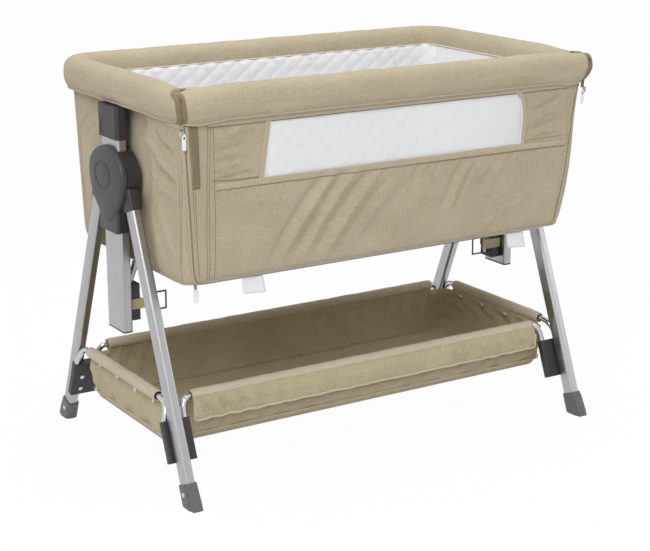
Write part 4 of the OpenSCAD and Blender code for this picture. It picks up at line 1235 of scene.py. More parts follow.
@dataclass
class Rail:
    """The padded rail: a front bar that drops with the front side, and a U that stays."""

    z: float = 726.0
    half_wide: float = 27.5
    half_tall: float = 31.0
    side_x: float = 436.5
    front_y: float = -249.5
    rear_y: float = 236.5
    bend: float = 57.5
    split_x: float = 452.0
    split_y: float = -222.0
    gap: float = 0.4
    dip: float = 5.0
    pull_in: Pair = (5.0, 15.0)
    lift: float = 3.5
    power: float = 2.6
    count: int = 44
    straight: float = 398.0
    tongue: float = -272.4
    zip_x: float = -453.0
    zip_end: float = -420.0
    piping: Pair = (2.0, 2.3)
    piping_level: Pair = (-0.2, -0.87)
    tape: tuple[float, float, float] = (5.0, 8.6, 1.2)

    def profile(self, d: np.ndarray | float) -> np.ndarray:
        """The share of the height that is left at d of the half width."""
        return (1 - np.clip(np.abs(d), 0, 1) ** self.power) ** (1 / self.power)

    def drop(self, x: float, y: float) -> float:
        """How far the rail sinks towards its front corners."""
        along = smooth((abs(x) - 350) / 80) if y < self.split_y else smooth((-y - 130) / 90)
        return float(self.dip * along)

    def left_of(self, past: float) -> Pair:
        """The half width and height that are left past millimetres beyond a bar's middle line."""
        e = max(past, 0) / self.half_wide
        return self.half_wide * math.sqrt(max(1 - e * e, 0)), self.half_tall * float(self.profile(e))

    def ring(
        self, centre: Sequence[float], out: Sequence[float], reach: float, tall: float, inner_power: float, place: float
    ) -> np.ndarray:
        """One ring of the cover.

        Args:
            centre: X and Y of the bar's middle.
            out: Unit direction away from the bed.
            reach: Half width on the outer side.
            tall: Half height.
            inner_power: How square the inner side is.
            place: Distance along the bar, for the creases.

        Returns:
            Array (count, 3).
        """
        section = superellipse(self.count, self.power, inner_power)
        angle = np.arctan2(section[:, 1], section[:, 0])
        puff = 1 + 0.016 * ripple(np.full(self.count, place), 30 * np.cos(angle) + 12 * angle**2, 70, 11)
        fine = 1 + 0.006 * ripple(np.full(self.count, place), 20 * np.sin(angle), 22, 12)
        c, s = (section * (puff * fine)[:, None]).T
        wide = np.where(c > 0, reach, self.half_wide)
        x, y = centre[0] + out[0] * c * wide, centre[1] + out[1] * c * wide
        return np.stack([x, y, self.z - self.drop(centre[0], centre[1]) + s * tall], axis=1)

    def pulled(self, points: np.ndarray) -> np.ndarray:
        """The same points with the front corners' undersides drawn in.

        Args:
            points: Array (..., 3).

        Returns:
            Array (..., 3).
        """
        x, y, z = points[..., 0], points[..., 1], points[..., 2]
        under = np.clip((self.z - self.dip - z) / self.half_tall + 0.15, 0, 1.15)
        share = smooth((np.abs(x) - 412) / 46) * smooth((-y - 150) / 90) * under
        far = np.where(x < 0, -self.pull_in[0], self.pull_in[1])
        return np.stack([x - far * share, y, z + self.lift * share], axis=-1)

    def front_cover(self) -> Object:
        """The front bar, square at its ends where it meets the side bars.

        Returns:
            The cover.
        """
        end, run = self.split_x - self.gap / 2, self.straight
        middle = np.linspace(4 - run, run - 4, 160)
        rings = []
        for x in np.concatenate([np.linspace(-end, -run, 24), middle, np.linspace(run, end, 24)]):
            square = self.power + 12 * float(smooth((abs(x) - run) / 10))
            reach, tall = self.left_of(abs(x) - self.side_x)
            rings.append(self.ring((x, self.front_y), (0, -1), reach, tall, square, x))
        return tube_of_rings("front_rail_cover", self.pulled(np.array(rings)))

    def route(self, front: float) -> list[tuple[float, float, float, float]]:
        """Stations of the U from the left end of the left bar to the right one.

        Args:
            front: Stations further forward than this are left out.

        Returns:
            X, Y and the outward direction of each.
        """
        x, bend, join = -self.side_x, self.bend, self.split_y + self.gap / 2
        ys = [*np.linspace(self.tongue, self.split_y - 0.4, 18), *np.linspace(join, self.rear_y - bend - 4, 96)]
        half = [(x, y, -1.0, 0.0) for y in ys]
        for a in np.linspace(0, math.pi / 2, 22):
            c, s = math.cos(a), math.sin(a)
            half.append((x + bend - bend * c, self.rear_y - bend + bend * s, -c, s))
        half += [(x, self.rear_y, 0.0, 1.0) for x in np.linspace(x + bend + 5, -2, 80)]
        half = [station for station in half if station[1] > front]
        return half + [(-x, y, -nx, ny) for x, y, nx, ny in reversed(half)]

    def fixed_cover(self) -> Object:
        """The side and rear bars in one U, with a tongue over each end of the front bar.

        Returns:
            The cover.
        """
        rings, place, last = [], 0.0, None
        edge = self.split_x + self.gap / 2
        side_tall = self.left_of(edge - self.side_x)[1]
        for x, y, nx, ny in self.route(-math.inf):
            place += 0 if last is None else math.hypot(x - last[0], y - last[1])
            last = (x, y)
            reach, tall = self.left_of(self.front_y - y)
            ring = self.ring((x, y), (nx, ny), reach, tall, self.power, place)
            if y < self.split_y:
                limit = side_tall * tall / self.half_tall
                middle = self.z - self.drop(x, y)
                inside = np.abs(ring[:, 0]) < edge
                ring[inside, 0] = math.copysign(edge, x)
                ring[inside, 2] = np.clip(ring[inside, 2], middle - limit, middle + limit)
            rings.append(ring)
        return tube_of_rings("rail_cover", self.pulled(np.array(rings)))

    def edge_line(self, fixed: bool, inner: bool) -> np.ndarray:
        """The piping's line along the bar's lower outer edge or along its inner face.

        Args:
            fixed: Whether it is the U's line or the front bar's.
            inner: Whether it is the inner line.

        Returns:
            Array (n, 3).
        """
        level = self.piping_level[0 if inner else 1]
        wide = self.half_wide * float(self.profile(level))
        wide = -wide - 0.6 if inner else wide + 0.8
        rise = self.z + self.half_tall * level
        if fixed:
            line = [
                (x + nx * wide, y + ny * wide, rise - self.drop(x, y))
                for x, y, nx, ny in self.route(self.split_y + (3 if inner else -25))
            ]
        else:
            end, y = 409 if inner else self.split_x - 2, self.front_y
            line = [
                (x, y - wide + 0.35 * max(abs(x) - self.side_x, 0), rise - self.drop(x, y))
                for x in np.linspace(-end, end, 160)
            ]
        return self.pulled(np.array(line))

    def corner_zip(self, side: Side) -> tuple[np.ndarray, np.ndarray]:
        """The zip's way over the rail's corner.

        Args:
            side: Which corner.

        Returns:
            Its line and the outward direction at each point.
        """
        points, normals = [], []
        reach, tall = self.left_of(abs(self.zip_x) - self.side_x)
        for a in np.radians(np.linspace(-68, 84, 34)):
            c, s = math.cos(a) ** (2 / self.power), math.copysign(abs(math.sin(a)) ** (2 / self.power), a)
            points.append((self.zip_x, self.front_y - reach * c, self.z - self.dip + tall * s))
            normals.append((-0.45 * math.cos(a), -math.cos(a), math.sin(a)))
        for t in np.linspace(0.12, 0.62, 10):
            x = mix(self.zip_x, self.zip_end, t)
            top = self.z - self.drop(x, self.front_y) + self.left_of(abs(x) - self.side_x)[1]
            points.append((x, self.front_y + 25 * t, top))
            normals.append((-0.35 * (1 - t), 0.0, 1.0))
        turn = np.array([-side.value, 1, 1])
        line = rounded_path(self.pulled(np.array(points) * turn) * turn)
        facing = rounded_path(np.array(normals))
        facing /= np.linalg.norm(facing, axis=1)[:, None]
        return (line + 0.6 * facing) * turn, facing * turn

    def build(self) -> None:
        """Makes the covers, their piping and the zips over the corners."""
        linen, hem = LINEN.make(), HEM.make()
        front = dress(self.front_cover(), "front_side", linen, ["pad_front"])
        fixed = dress(self.fixed_cover(), "bed", linen, ["pad_left", "pad_right", "pad_rear"])
        for body, name, is_fixed in (("front_side", "front", False), ("bed", "fixed", True)):
            for word, inner, radius in (("lower", False, self.piping[1]), ("inner", True, self.piping[0])):
                line = self.edge_line(is_fixed, inner)
                CORDS.grow(f"rail_{name}_{word}_piping", body, "linen", hem, [line], Radius=radius)
        aside, wide, thick = self.tape
        for side in Side:
            line, facing = self.corner_zip(side)
            across = np.cross(np.gradient(line, axis=0), facing)
            across /= np.linalg.norm(across, axis=1)[:, None]
            for word, offset in (("outer", aside), ("inner", -aside)):
                middle = line + across * offset * side.value
                tape = strip(f"corner_tape_{word}_{side.word}", middle, across, facing, wide, thick)
                dress(tape, "front_side", ZIP_TAPE.make())
            teeth = ZIP_TEETH.make()
            sizes = {"Pitch": 2.4, "Length": 1.7, "Width": 3.4, "Height": 1.6}
            row, name = [line + 0.9 * facing], f"corner_teeth_{side.word}"
            STITCHES.grow(name, "front_side", "dark_plastic", teeth, row, **sizes)


# The walls


def tape_on(name: str, face: Face, points: Sequence[Pair], width: float, thickness: float) -> Object:
    """A tape that lies on a cloth face along a line of it.

    Args:
        name: The piece's name.
        face: Gives a place from the face's two coordinates and a height above it.
        points: The line in the face's coordinates.
        width: In millimetres.
        thickness: In millimetres.

    Returns:
        The tape.
    """
    line = resample(points, 4.0)
    along = np.gradient(line, axis=0)
    along /= np.linalg.norm(along, axis=1)[:, None]
    across = np.stack([-along[:, 1], along[:, 0]], axis=1)
    half = [(0.5, 0), (0.5, 0.5), (0.46, 0.92), (0.3, 1), (0.1, 1)]
    section = [(-0.5, 0), (0, 0), *half, *[(-a, b) for a, b in half[:0:-1]]]
    rings = np.stack([face(*(line + across * a * width).T, b * thickness) for a, b in section], axis=1)
    return tube_of_rings(name, rings)


def line_on(face: Face, points: Sequence[Pair], proud: float, step: float = 5.0) -> np.ndarray:
    """A line on a cloth face.

    Args:
        face: Gives a place from the face's two coordinates and a height above it.
        points: The line in the face's coordinates.
        proud: Its height above the face.
        step: The distance between its points.

    Returns:
        Array (n, 3).
    """
    return face(*resample(points, step).T, proud)


@dataclass
class Walls:
    """The front wall with its net window, the end walls that reach round to the zips, and the rear wall."""

    face: FrontFace = field(default_factory=FrontFace)
    thickness: float = 1.6
    row_step: float = 4.0
    window_bottom: float = 578.0
    window_left: Pair = (-280.0, -272.0)
    window_right: Pair = (301.0, 296.0)
    round_from: float = 640.0
    round_depth: float = 34.0
    window_edge_z: Pair = (581.0, 685.0)
    zip_gap: float = 0.5
    drawn: float = 12.0
    columns: tuple[int, int, int] = (42, 146, 38)
    net_overlap: Pair = (5.0, 6.0)
    slider_x: float = 444.5
    band_z: float = 692.0
    zip_tapes: Place = (6.4, 5.6, 1.0)
    tape_in: float = 4.2
    stitch_in: float = 3.6
    seam_up: float = 0.1
    stitch_up: float = 1.5
    rear_straight: float = 0.85
    end_seams: tuple[tuple[Pair, ...], ...] = (((4, 686), (13, 560), (25, 404)), ((12, 686), (20, 560), (32, 404)))
    end_marks: tuple[CreaseMark, ...] = fold_marks(
        (-84, 676, -242, 604, 12, -7.0), (-92, 640, -244, 588, 10, 6.5), (-128, 688, -244, 634, 8, 5.0),
        (-110, 694, -240, 656, 8, -3.4), (-100, 606, -240, 560, 14, -3.6), (-100, 560, -190, 420, 13, 3.0),
        (-140, 570, -214, 430, 13, -2.6), (110, 676, 190, 610, 9, -4.6), (104, 640, 196, 580, 9, 4.0),
        (120, 560, 160, 430, 12, -3.0),
    )

    def front_place(self, x: np.ndarray, z: np.ndarray, proud: float = 0.0) -> np.ndarray:
        """A place on the front wall."""
        return self.drawn_in(np.stack([x, self.face.y(x, z, proud), z], axis=-1))

    def drawn_in(self, points: np.ndarray) -> np.ndarray:
        """Draws the right corner in under the rail.

        Args:
            points: Array (..., 3).

        Returns:
            Array (..., 3).
        """
        x, y, z = points[..., 0], points[..., 1], points[..., 2]
        share = smooth((z - 500) / 170) * smooth((x - 322) / 90) * smooth((-y - 120) / 90)
        return np.stack([x - self.drawn * share, y, z], axis=-1)

    def window_edge(self, z: np.ndarray, ends: Pair) -> np.ndarray:
        """X of one of the window's edges.

        Args:
            z: Heights above the floor.
            ends: Its X at the window's bottom and top.

        Returns:
            Array of the same shape.
        """
        low, high = self.window_edge_z
        round_off = np.clip((np.asarray(z, float) - self.round_from) / 56, 0, 1) if ends[0] > 0 else 0.0 * z
        edge = mix(*ends, np.clip((z - low) / (high - low), 0, 1.1))
        return edge - self.round_depth * (1 - np.sqrt(1 - round_off**2))

    def front_cloth(self) -> Object:
        """The front wall with its window cut out.

        Returns:
            The wall, without a thickness yet.
        """
        spans = ((BED.bottom, self.window_bottom), (self.window_bottom, BED.top))
        below, above = [np.linspace(a, b, int((b - a) / self.row_step) + 1) for a, b in spans]
        z, sill = np.concatenate([below, above[1:]]), len(below) - 1
        ends = BED.zip_x(BED.h(z)) - self.zip_gap / 2
        lines = [-ends, self.window_edge(z, self.window_left), self.window_edge(z, self.window_right), ends]
        x = np.concatenate([
            mix(a[:, None], b[:, None], np.linspace(0, 1, n)[bool(k) :])
            for k, (a, b, n) in enumerate(zip(lines[:-1], lines[1:], self.columns))
        ], axis=1)
        points = self.front_place(x, np.repeat(z[:, None], x.shape[1], axis=1))
        keep = np.ones((len(z) - 1, x.shape[1] - 1), bool)
        keep[sill:, self.columns[0] - 1 : sum(self.columns[:2]) - 2] = False
        obj = grid_object("front_wall_cloth", points, keep=keep)
        with editing(obj.data) as work:
            bmesh.ops.delete(work, geom=[v for v in work.verts if not v.link_faces], context="VERTS")
        return obj

    def net(self) -> Object:
        """The net behind the window's edges, stretched flat.

        Returns:
            The net.
        """
        aside, below = self.net_overlap
        z = np.linspace(self.window_bottom - below, BED.top, 32)
        left, right = self.window_edge(z, self.window_left) - aside, self.window_edge(z, self.window_right) + aside
        x = mix(left[:, None], right[:, None], np.linspace(0, 1, 120))
        zz = np.repeat(z[:, None], 120, axis=1)
        y = -BED.front_y(BED.h(zz)) + self.thickness + 0.8 + 1.2 * ripple(x, zz, 160, 8)
        return grid_object("window_net", np.stack([x, y, zz], axis=-1))

    def end_place(self, side: Side, s: np.ndarray, z: np.ndarray, proud: float = 0.0) -> np.ndarray:
        """A place on an end wall, s millimetres along it from the zip.

        Args:
            side: Which end.
            s: Distance from the zip round the front corner.
            z: Height above the floor.
            proud: Height above the cloth.

        Returns:
            Array (..., 3).
        """
        h = BED.h(z)
        front, r = BED.front_y(h), BED.turn(h)
        corner = BED.end_x(-front, h)
        straight = corner - r - BED.zip_x(h) - self.zip_gap / 2
        turn = r * math.pi / 2
        a = np.clip((s - straight) / r, 0, math.pi / 2)
        y_side = -front + r + np.maximum(s - straight - turn, 0)
        fold = BED.end_fold(y_side, h) + creases(y_side, z, self.end_marks) * smooth((s - straight - turn) / 20)
        soft = 0.9 * ripple(y_side, z, 100, 5) * smooth(h / 0.08) * smooth((1 - h) / 0.05)
        x_side = BED.end_x(y_side, h) - fold - soft - 0.6 + proud
        x_turn = corner - r + (r + proud) * np.sin(a)
        y_turn = -front + r - (r + proud) * np.cos(a)
        x_front = BED.zip_x(h) + self.zip_gap / 2 + s
        on_front, on_side = s < straight, s > straight + turn
        x = np.where(on_front, x_front, np.where(on_side, x_side, x_turn))
        y = np.where(on_front, -front - proud, np.where(on_side, y_side, y_turn))
        return self.drawn_in(np.stack([side.value * x, y, np.broadcast_to(z, x.shape)], axis=-1))

    def end_length(self, z: np.ndarray) -> tuple[np.ndarray, np.ndarray]:
        """The lengths of an end wall.

        Args:
            z: Heights above the floor.

        Returns:
            Its length up to the end of its front corner, and in all.
        """
        h = BED.h(z)
        front, r = BED.front_y(h), BED.turn(h)
        turn = BED.end_x(-front, h) - r - BED.zip_x(h) - self.zip_gap / 2 + r * math.pi / 2
        return turn, turn + BED.rear_y(h) - BED.corner + front - r

    def end_cloth(self, side: Side) -> Object:
        """An end wall from the zip to where the rear wall's corner starts.

        Args:
            side: Which end.

        Returns:
            The wall, without a thickness yet.
        """
        z = np.linspace(BED.bottom, BED.top, 76)
        turn, whole = (length[:, None] for length in self.end_length(z))
        round_front, rest = np.linspace(0, 1, 16), np.linspace(0, 1, 104)[1:]
        s = np.concatenate([mix(0.0, turn, round_front), mix(turn, whole, rest)], axis=1)
        points = self.end_place(side, s, np.repeat(z[:, None], s.shape[1], axis=1))
        return grid_object(f"end_wall_cloth_{side.word}", points, flip=side is Side.LEFT)

    def rear_place(self, s: np.ndarray, z: np.ndarray, proud: float = 0.0) -> np.ndarray:
        """A place on the rear wall.

        Args:
            s: From -1 to 1 round both corners, which lie beyond the straight share.
            z: Height above the floor.
            proud: Height above the cloth.

        Returns:
            Array (..., 3).
        """
        h, r, straight = BED.h(z), BED.corner, self.rear_straight
        start = BED.rear_y(h) - r
        wide = BED.end_x(start, h) - r
        a = np.clip((1 - np.abs(s)) / (1 - straight), 0, 1) * math.pi / 2
        soft = 0.9 * ripple(s * 430, z, 110, 7) * smooth(h / 0.08) * smooth((1 - h) / 0.05)
        x = np.where(np.abs(s) > straight, np.sign(s) * (wide + (r + proud) * np.cos(a)), s / straight * wide)
        y = start + (r + proud - np.abs(soft)) * np.sin(a)
        return np.stack([x, y, np.broadcast_to(z, x.shape)], axis=-1)

    def rear_cloth(self) -> Object:
        """The rear wall with both rear corners.

        Returns:
            The wall, without a thickness yet.
        """
        z, e = np.linspace(BED.bottom, BED.top, 76), self.rear_straight
        s = np.concatenate([np.linspace(-1, -e, 18), np.linspace(-e, e, 190)[1:-1], np.linspace(e, 1, 18)])
        return grid_object("rear_wall_cloth", self.rear_place(*np.meshgrid(s, z)), flip=True)

    def edge_points(self, z: np.ndarray, ends: Pair, shift: float = 0.0) -> list[Pair]:
        """Places along one of the window's edges, shifted along X."""
        return [(float(x) + shift, float(h)) for x, h in zip(self.window_edge(z, ends), z)]

    def front_trim(self) -> None:
        """Bands, seams, painted shade lines under the bands and above the window band, the zip tape by the window's
        left and the stitches, all on the front wall.
        """
        hem, tape, thread, dark = HEM.make(), ZIP_TAPE.make(), THREAD.make(), SEAM_AND_SHADE_THREAD.make()
        linen, place = LINEN.make(), self.front_place
        low, zip_low = BED.bottom, BED.zip_x(0)
        z = np.linspace(self.window_bottom - 4, BED.top, 24)
        left, right = self.edge_points(z, self.window_left, -5.5), self.edge_points(z, self.window_right, 5.5)
        under = [(-378, 577), (-280, 577.5), (300, 577), (float(BED.zip_x(0.6)) - 8, 575)]
        for name, line, width, thick, cloth in (
            ("window_band_left", left, 11.0, 1.3, hem),
            ("window_band_right", right, 11.0, 1.3, hem),
            ("window_band_under", under, 12.0, 1.5, hem),
            ("band_under_rail", [(-400, 692), (0, 692.3), (424, 692)], 9.6, 2.0, hem),
            ("bottom_binding", [(2 - zip_low, low + 3), (0, low + 3), (zip_low - 2, low + 3)], 5.0, 1.4, linen),
            ("zip_cover_left", [(-426, 693), (-420, 630), (-416, 579)], 17.0, 1.6, tape),
        ):
            dress(tape_on(name, place, line, width, thick), "front_side", cloth)
        # Dark cords: seams a to e are real seams; the two lines under the bands are seams drawn thick as the painted
        # shadow under each band; the pleat lines are painted shade in the folds above the window band.
        for name, radius, line in (
            ("seam_a", 0.5, [(-421, 574), (-413, 480), (-405, 404)]),
            ("seam_b", 0.5, [(-417, 574), (-409, 480), (-401, 404)]),
            ("seam_c", 0.5, [(-397, 690), (-394, 570), (-390, 480), (-386, 404)]),
            ("seam_d", 0.5, [(-392, 690), (-389, 570), (-385, 480), (-381, 404)]),
            ("seam_e", 0.5, [(-386, 690), (-380, 600), (-374, 500), (-371, 404)]),
            ("seam_under_window", 0.9, [(-376, 570.5), (0, 570.5), (420, 568)]),
            ("seam_and_shadow_under_rail", 0.9, [(-398, 686), (0, 686.5), (424, 686)]),
            ("painted_pleat_shade", 1.1, [(-384, 588), (-330, 587), (-287, 586)]),
            ("pleat_above_band_right", 0.5, [(309, 588), (360, 589), (412, 590)]),
        ):
            CORDS.grow(name, "front_side", "linen", dark, [line_on(place, line, self.seam_up)], Radius=radius)
        sill = float(z[0]) + 4.5
        edge = self.edge_points(z, self.window_left)[::-1] + [(0.0, sill)] + self.edge_points(z, self.window_right)
        edge = [(x, max(h, sill)) for x, h in edge]
        edge = [line_on(place, edge, 0.0, 4.0)]
        CORDS.grow("window_edge_cord", "front_side", "lining", LINING.make(), edge, Radius=1.0)
        rows = [
            [(x - self.stitch_in, h) for x, h in left], [(x + self.stitch_in, h) for x, h in right],
            [(-374, 581.2), (0, 581.4), (412, 579.2)], [(-374, 573.2), (0, 573.2), (412, 571.4)],
            [(-433, 688), (-427, 630), (-423, 581)], [(-417, 688), (-411, 630), (-407, 581)],
            [(8 - zip_low, low + 6.6), (0, low + 6.6), (zip_low - 8, low + 6.6)],
        ]
        rows = [line_on(place, row, self.stitch_up) for row in rows]
        STITCHES.grow("front_stitches", "front_side", "linen", thread, rows, Height=0.7)

    def zips(self) -> None:
        """The covered tapes and the teeth of both corner zips, half on each body."""
        linen, teeth, dark, tape = LINEN.make(), ZIP_TEETH.make(), SEAM_AND_SHADE_THREAD.make(), ZIP_TAPE.make()
        levels = np.linspace(BED.bottom + 3, BED.top - 1, 60)
        zip_x, (wide, narrow, thick) = BED.zip_x(BED.h(levels)), self.zip_tapes
        for side in Side:
            word, sign, place = side.word, side.value, partial(self.end_place, side)
            near = np.stack([sign * (zip_x - self.tape_in), levels], axis=1)
            front = tape_on(f"zip_tape_front_{word}", self.front_place, near, wide, thick)
            dress(front, "front_side", linen)
            far = [(self.tape_in, float(level)) for level in levels]
            dress(tape_on(f"zip_tape_end_{word}", place, far, narrow, thick), "bed", linen)
            line = self.drawn_in(np.stack([sign * zip_x, -BED.front_y(BED.h(levels)) - 0.9, levels], axis=1))
            sizes = {"Pitch": 2.4, "Length": 1.9, "Width": 1.4, "Height": 2.0}
            STITCHES.grow(f"zip_teeth_{word}", "bed", "dark_plastic", teeth, [line], **sizes)
            band = [(float(s), self.band_z) for s in np.linspace(1, 186, 60)]
            dress(tape_on(f"end_top_band_{word}", place, band, 10.0, 1.6), "bed", linen)
            seams = [line_on(place, seam, self.seam_up) for seam in self.end_seams]
            CORDS.grow(f"end_seams_{word}", "bed", "linen", dark, seams, Radius=0.5)
            low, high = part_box(f"zip_slider_{word}")
            x, y, z = sign * self.slider_x, float(low[1]) / MM + 4.5, float(high[2]) / MM
            fall = resample([(x + 3 * sign, y + 1.5, 703.0), (x + sign, y + 0.5, 694.0), (x, y, z - 2)], 2.0)
            hanger = strip(f"zip_end_tape_{word}", fall, (1.0, 0.0, 0.0), (0.0, -1.0, 0.0), 8.0, 1.2)
            dress(hanger, "front_side", tape)

    def build(self) -> None:
        """Makes the four walls with the net, the trims, the zips and the end walls' bottom bindings."""
        linen, tall = LINEN.make(), BED.tall * MM
        front = self.front_cloth()
        flat = 2 * float(BED.zip_x(0.5)) * MM
        thicken(front, self.thickness)
        dress(front, "front_side", linen, ["front_wall"])
        net = dress(self.net(), "front_side", NET.make(), ["net_window"])
        for side in Side:
            end = self.end_cloth(side)
            thicken(end, self.thickness)
            dress(end, "bed", linen, [f"end_wall_{side.word}"])
            float(self.end_length(BED.z(0.5))[1]) * MM
        rear = self.rear_cloth()
        thicken(rear, self.thickness)
        dress(rear, "bed", linen, ["rear_wall"])
        self.front_trim()
        self.zips()
        whole = float(self.end_length(BED.z(0.01))[1])
        line = [(s, BED.bottom + 3) for s in np.linspace(2, whole - 1, 60)]
        for side in Side:
            hem = tape_on(f"bottom_binding_{side.word}", partial(self.end_place, side), line, 5.0, 1.4)
            dress(hem, "bed", linen)


# What is inside the bed


@dataclass
class Interior:
    """The quilted lining, the mattress and the floor cloth."""

    diamond: float = 29.0
    puff: float = 4.2
    thickness: float = 1.4
    rear_half: float = 379.0
    turn: float = 36.0
    lining_low: float = 416.0
    lining_high: float = 722.0
    mattress_half: Pair = (413.0, 210.4)
    mattress_z: Pair = (415.6, 454.6)
    mattress_corner: float = 48.0
    floor_half: Pair = (425.4, 218.4)
    floor_z: float = 408.4
    swell: float = 5.0
    frames: int = 20
    row_pitch: float = 138.0
    row_step: float = 3.4
    voxel: float = 6.0
    rear_profile: tuple[Pair, ...] = (
        (416, 213), (520, 219.5), (600, 224.5), (640, 226.5), (662, 221), (682, 214.5), (702, 209.5), (722, 207.4),
    )
    end_profile: tuple[Pair, ...] = ((416, 415.4), (655, 415.4), (680, 411.5), (700, 408.6), (722, 407.6))

    def quilt(self, u: np.ndarray, v: np.ndarray) -> np.ndarray:
        """Height of the padding between diagonal rows of stitches.

        Args:
            u: Place along the lining.
            v: Height above the floor.

        Returns:
            Heights of the same shape.
        """
        size = self.diamond * math.sqrt(2)
        a, b = np.sin(np.pi * (u + v) / size), np.sin(np.pi * (u - v) / size)
        return self.puff * (np.abs(a * b)) ** 0.38

    def rear_face(self, z: np.ndarray) -> np.ndarray:
        """How far back the rear lining's inner face is."""
        return np.interp(z, *zip(*self.rear_profile))

    def end_face(self, z: np.ndarray) -> np.ndarray:
        """How far out the end linings' inner faces are."""
        return np.interp(z, *zip(*self.end_profile))

    def levels(self) -> np.ndarray:
        """The heights of the linings' rows of points."""
        return np.arange(self.lining_low, self.lining_high + 1, self.row_step)

    def fade(self, z: np.ndarray) -> np.ndarray:
        """1 in the lining's field and 0 at its upper and lower edge."""
        return smooth((z - self.lining_low) / 8) * smooth((self.lining_high - z) / 8)

    def rear_lining(self) -> Object:
        """The rear lining, with the two rear corners.

        Returns:
            The lining, without a thickness yet.
        """
        z = self.levels()
        face, end = self.rear_face(z)[:, None], self.end_face(z)[:, None]
        turn = np.minimum(self.turn, end - self.rear_half + 1)
        flat, a = np.linspace(2 - self.rear_half, self.rear_half - 2, 230), np.linspace(0, math.pi / 2, 12)[:-1]
        bend_x, bend_y = end - turn + turn * np.cos(a), face - turn + turn * np.sin(a)
        x = np.concatenate([-bend_x, flat + 0 * face, bend_x[:, ::-1]], axis=1)
        y = np.concatenate([bend_y, face + 0 * flat, bend_y[:, ::-1]], axis=1)
        zz = np.repeat(z[:, None], x.shape[1], axis=1)
        points = np.stack([x, y, zz], axis=-1)
        puff = self.quilt(arc_lengths(points, 1), zz) * self.fade(zz)
        points[..., 1] -= puff * np.clip((y - face + turn) / turn, 0.3, 1)
        return grid_object("quilted_lining_rear", points)

    def end_lining(self, side: Side) -> Object:
        """An end lining: quilted on the left, plain on the right.

        Args:
            side: Which end.

        Returns:
            The lining, without a thickness yet.
        """
        z, quilted = self.levels(), side is Side.LEFT
        front = np.maximum(-BED.front_y(np.clip(BED.h(z), 0, 1)) + 6, -248.0)
        front = np.where(z > 694, -221.0, front)[:, None]
        y = mix(front, (self.rear_face(z) - self.turn + 5)[:, None], np.linspace(0, 1, 124))
        zz = np.repeat(z[:, None], y.shape[1], axis=1)
        relief = (self.quilt(y, zz) if quilted else 0.9 * ripple(y, zz, 90, 21)) * self.fade(zz)
        x = self.end_face(z)[:, None] - np.maximum(relief, -0.4)
        name = f"{'quilted' if quilted else 'plain'}_lining_{side.word}"
        return grid_object(name, np.stack([side.value * x, y, zz], axis=-1), flip=not quilted)

    def slab(self, name: str, half: Pair, z: Pair, corner: float, edge: float) -> Object:
        """A flat pad with rounded corners and edges.

        Args:
            name: The piece's name.
            half: Half its length and width.
            z: Its lowest and highest level.
            corner: The plan's corner radius.
            edge: The rounding of its edges.

        Returns:
            The pad.
        """
        outline = oblong(half, corner, 13)
        inward = -outline / np.linalg.norm(outline, axis=1)[:, None]
        rings = []
        for a in np.radians(np.linspace(-90, 90, 13)):
            inset = edge * (1 - math.cos(a))
            level = (z[0] + edge if a < 0 else z[1] - edge) + edge * math.sin(a)
            rings.append(np.column_stack([outline + inward * inset, np.full(len(outline), level)]))
        return tube_of_rings(name, np.array(rings))

    def swollen(self, obj: Object) -> None:
        """Fills a pad by cloth simulation under pressure, with no point moving further than the swell.

        Args:
            obj: The pad.
        """
        remesh = obj.modifiers.new("even_mesh", "REMESH")
        remesh.mode = "VOXEL"
        remesh.voxel_size = self.voxel * MM
        even = baked(obj)
        obj.data = even
        shade_smooth(even)
        cloth = obj.modifiers.new("filling", "CLOTH")
        cloth.settings.use_pressure = True
        cloth.settings.uniform_pressure_force = 4.0
        cloth.settings.effector_weights.gravity = 0.0
        for step in range(1, self.frames + 1):
            bpy.context.scene.frame_set(step)
        filled = baked(obj)
        before = read(even.vertices, "co")
        move = read(filled.vertices, "co") - before
        bpy.data.meshes.remove(filled)
        bpy.context.scene.frame_set(1)
        far = np.linalg.norm(move, axis=1)
        move *= np.minimum(1, self.swell * MM / np.maximum(far, 1e-9))[:, None]
        even.vertices.foreach_set("co", (before + move).ravel())
        even.update()

    def mattress(self) -> Object:
        """The mattress: a filled cover, flat underneath, with faint rows across its top.

        Returns:
            The mattress.
        """
        low, high = self.mattress_z
        half = (self.mattress_half[0] - self.swell, self.mattress_half[1] - self.swell)
        obj = self.slab("mattress_pad", half, (low + 1, high - self.swell), self.mattress_corner, 12.0)
        self.swollen(obj)
        mesh = obj.data
        x, y, z = read(mesh.vertices, "co").T / MM
        top = smooth((z - high + 12) / 8)
        z = z - top * 1.6 * np.abs(np.cos(np.pi * x / self.row_pitch)) ** 18 + top * 0.8 * ripple(x, y, 120, 31)
        z = np.clip(z, low, high + 1)
        mesh.vertices.foreach_set("co", (np.stack([x, y, z], axis=1) * MM).ravel())
        mesh.update()
        paint_uv(mesh, np.stack([x, y + z], axis=1))
        return obj

    def build(self) -> None:
        """Makes the soft pieces inside the bed."""
        lining = LINING.make()
        rear = self.rear_lining()
        thicken(rear, self.thickness)
        dress(rear, "bed", lining, ["lining_rear"])
        for side in Side:
            end = self.end_lining(side)
            thicken(end, self.thickness)
            dress(end, "bed", lining, [f"lining_{side.word}"])
        pad = dress(self.mattress(), "bed", COVER.make(), ["mattress"])
        cloth = self.slab("bed_floor_cloth", self.floor_half, (self.floor_z - 1.4, self.floor_z), 48.0, 0.7)
        dress(cloth, "bed", LINEN.make(), ["bed_floor"])


# The basket


def leg_point(x: float, y: float, z: float, lean: float = 22.0) -> Place:
    """A place in the front right leg's own frame, z up along the leg and y inwards, as X, Y and Z."""
    a = math.radians(lean)
    return 452 + x, -276 + z * math.sin(a) + y * math.cos(a), z * math.cos(a) - y * math.sin(a)


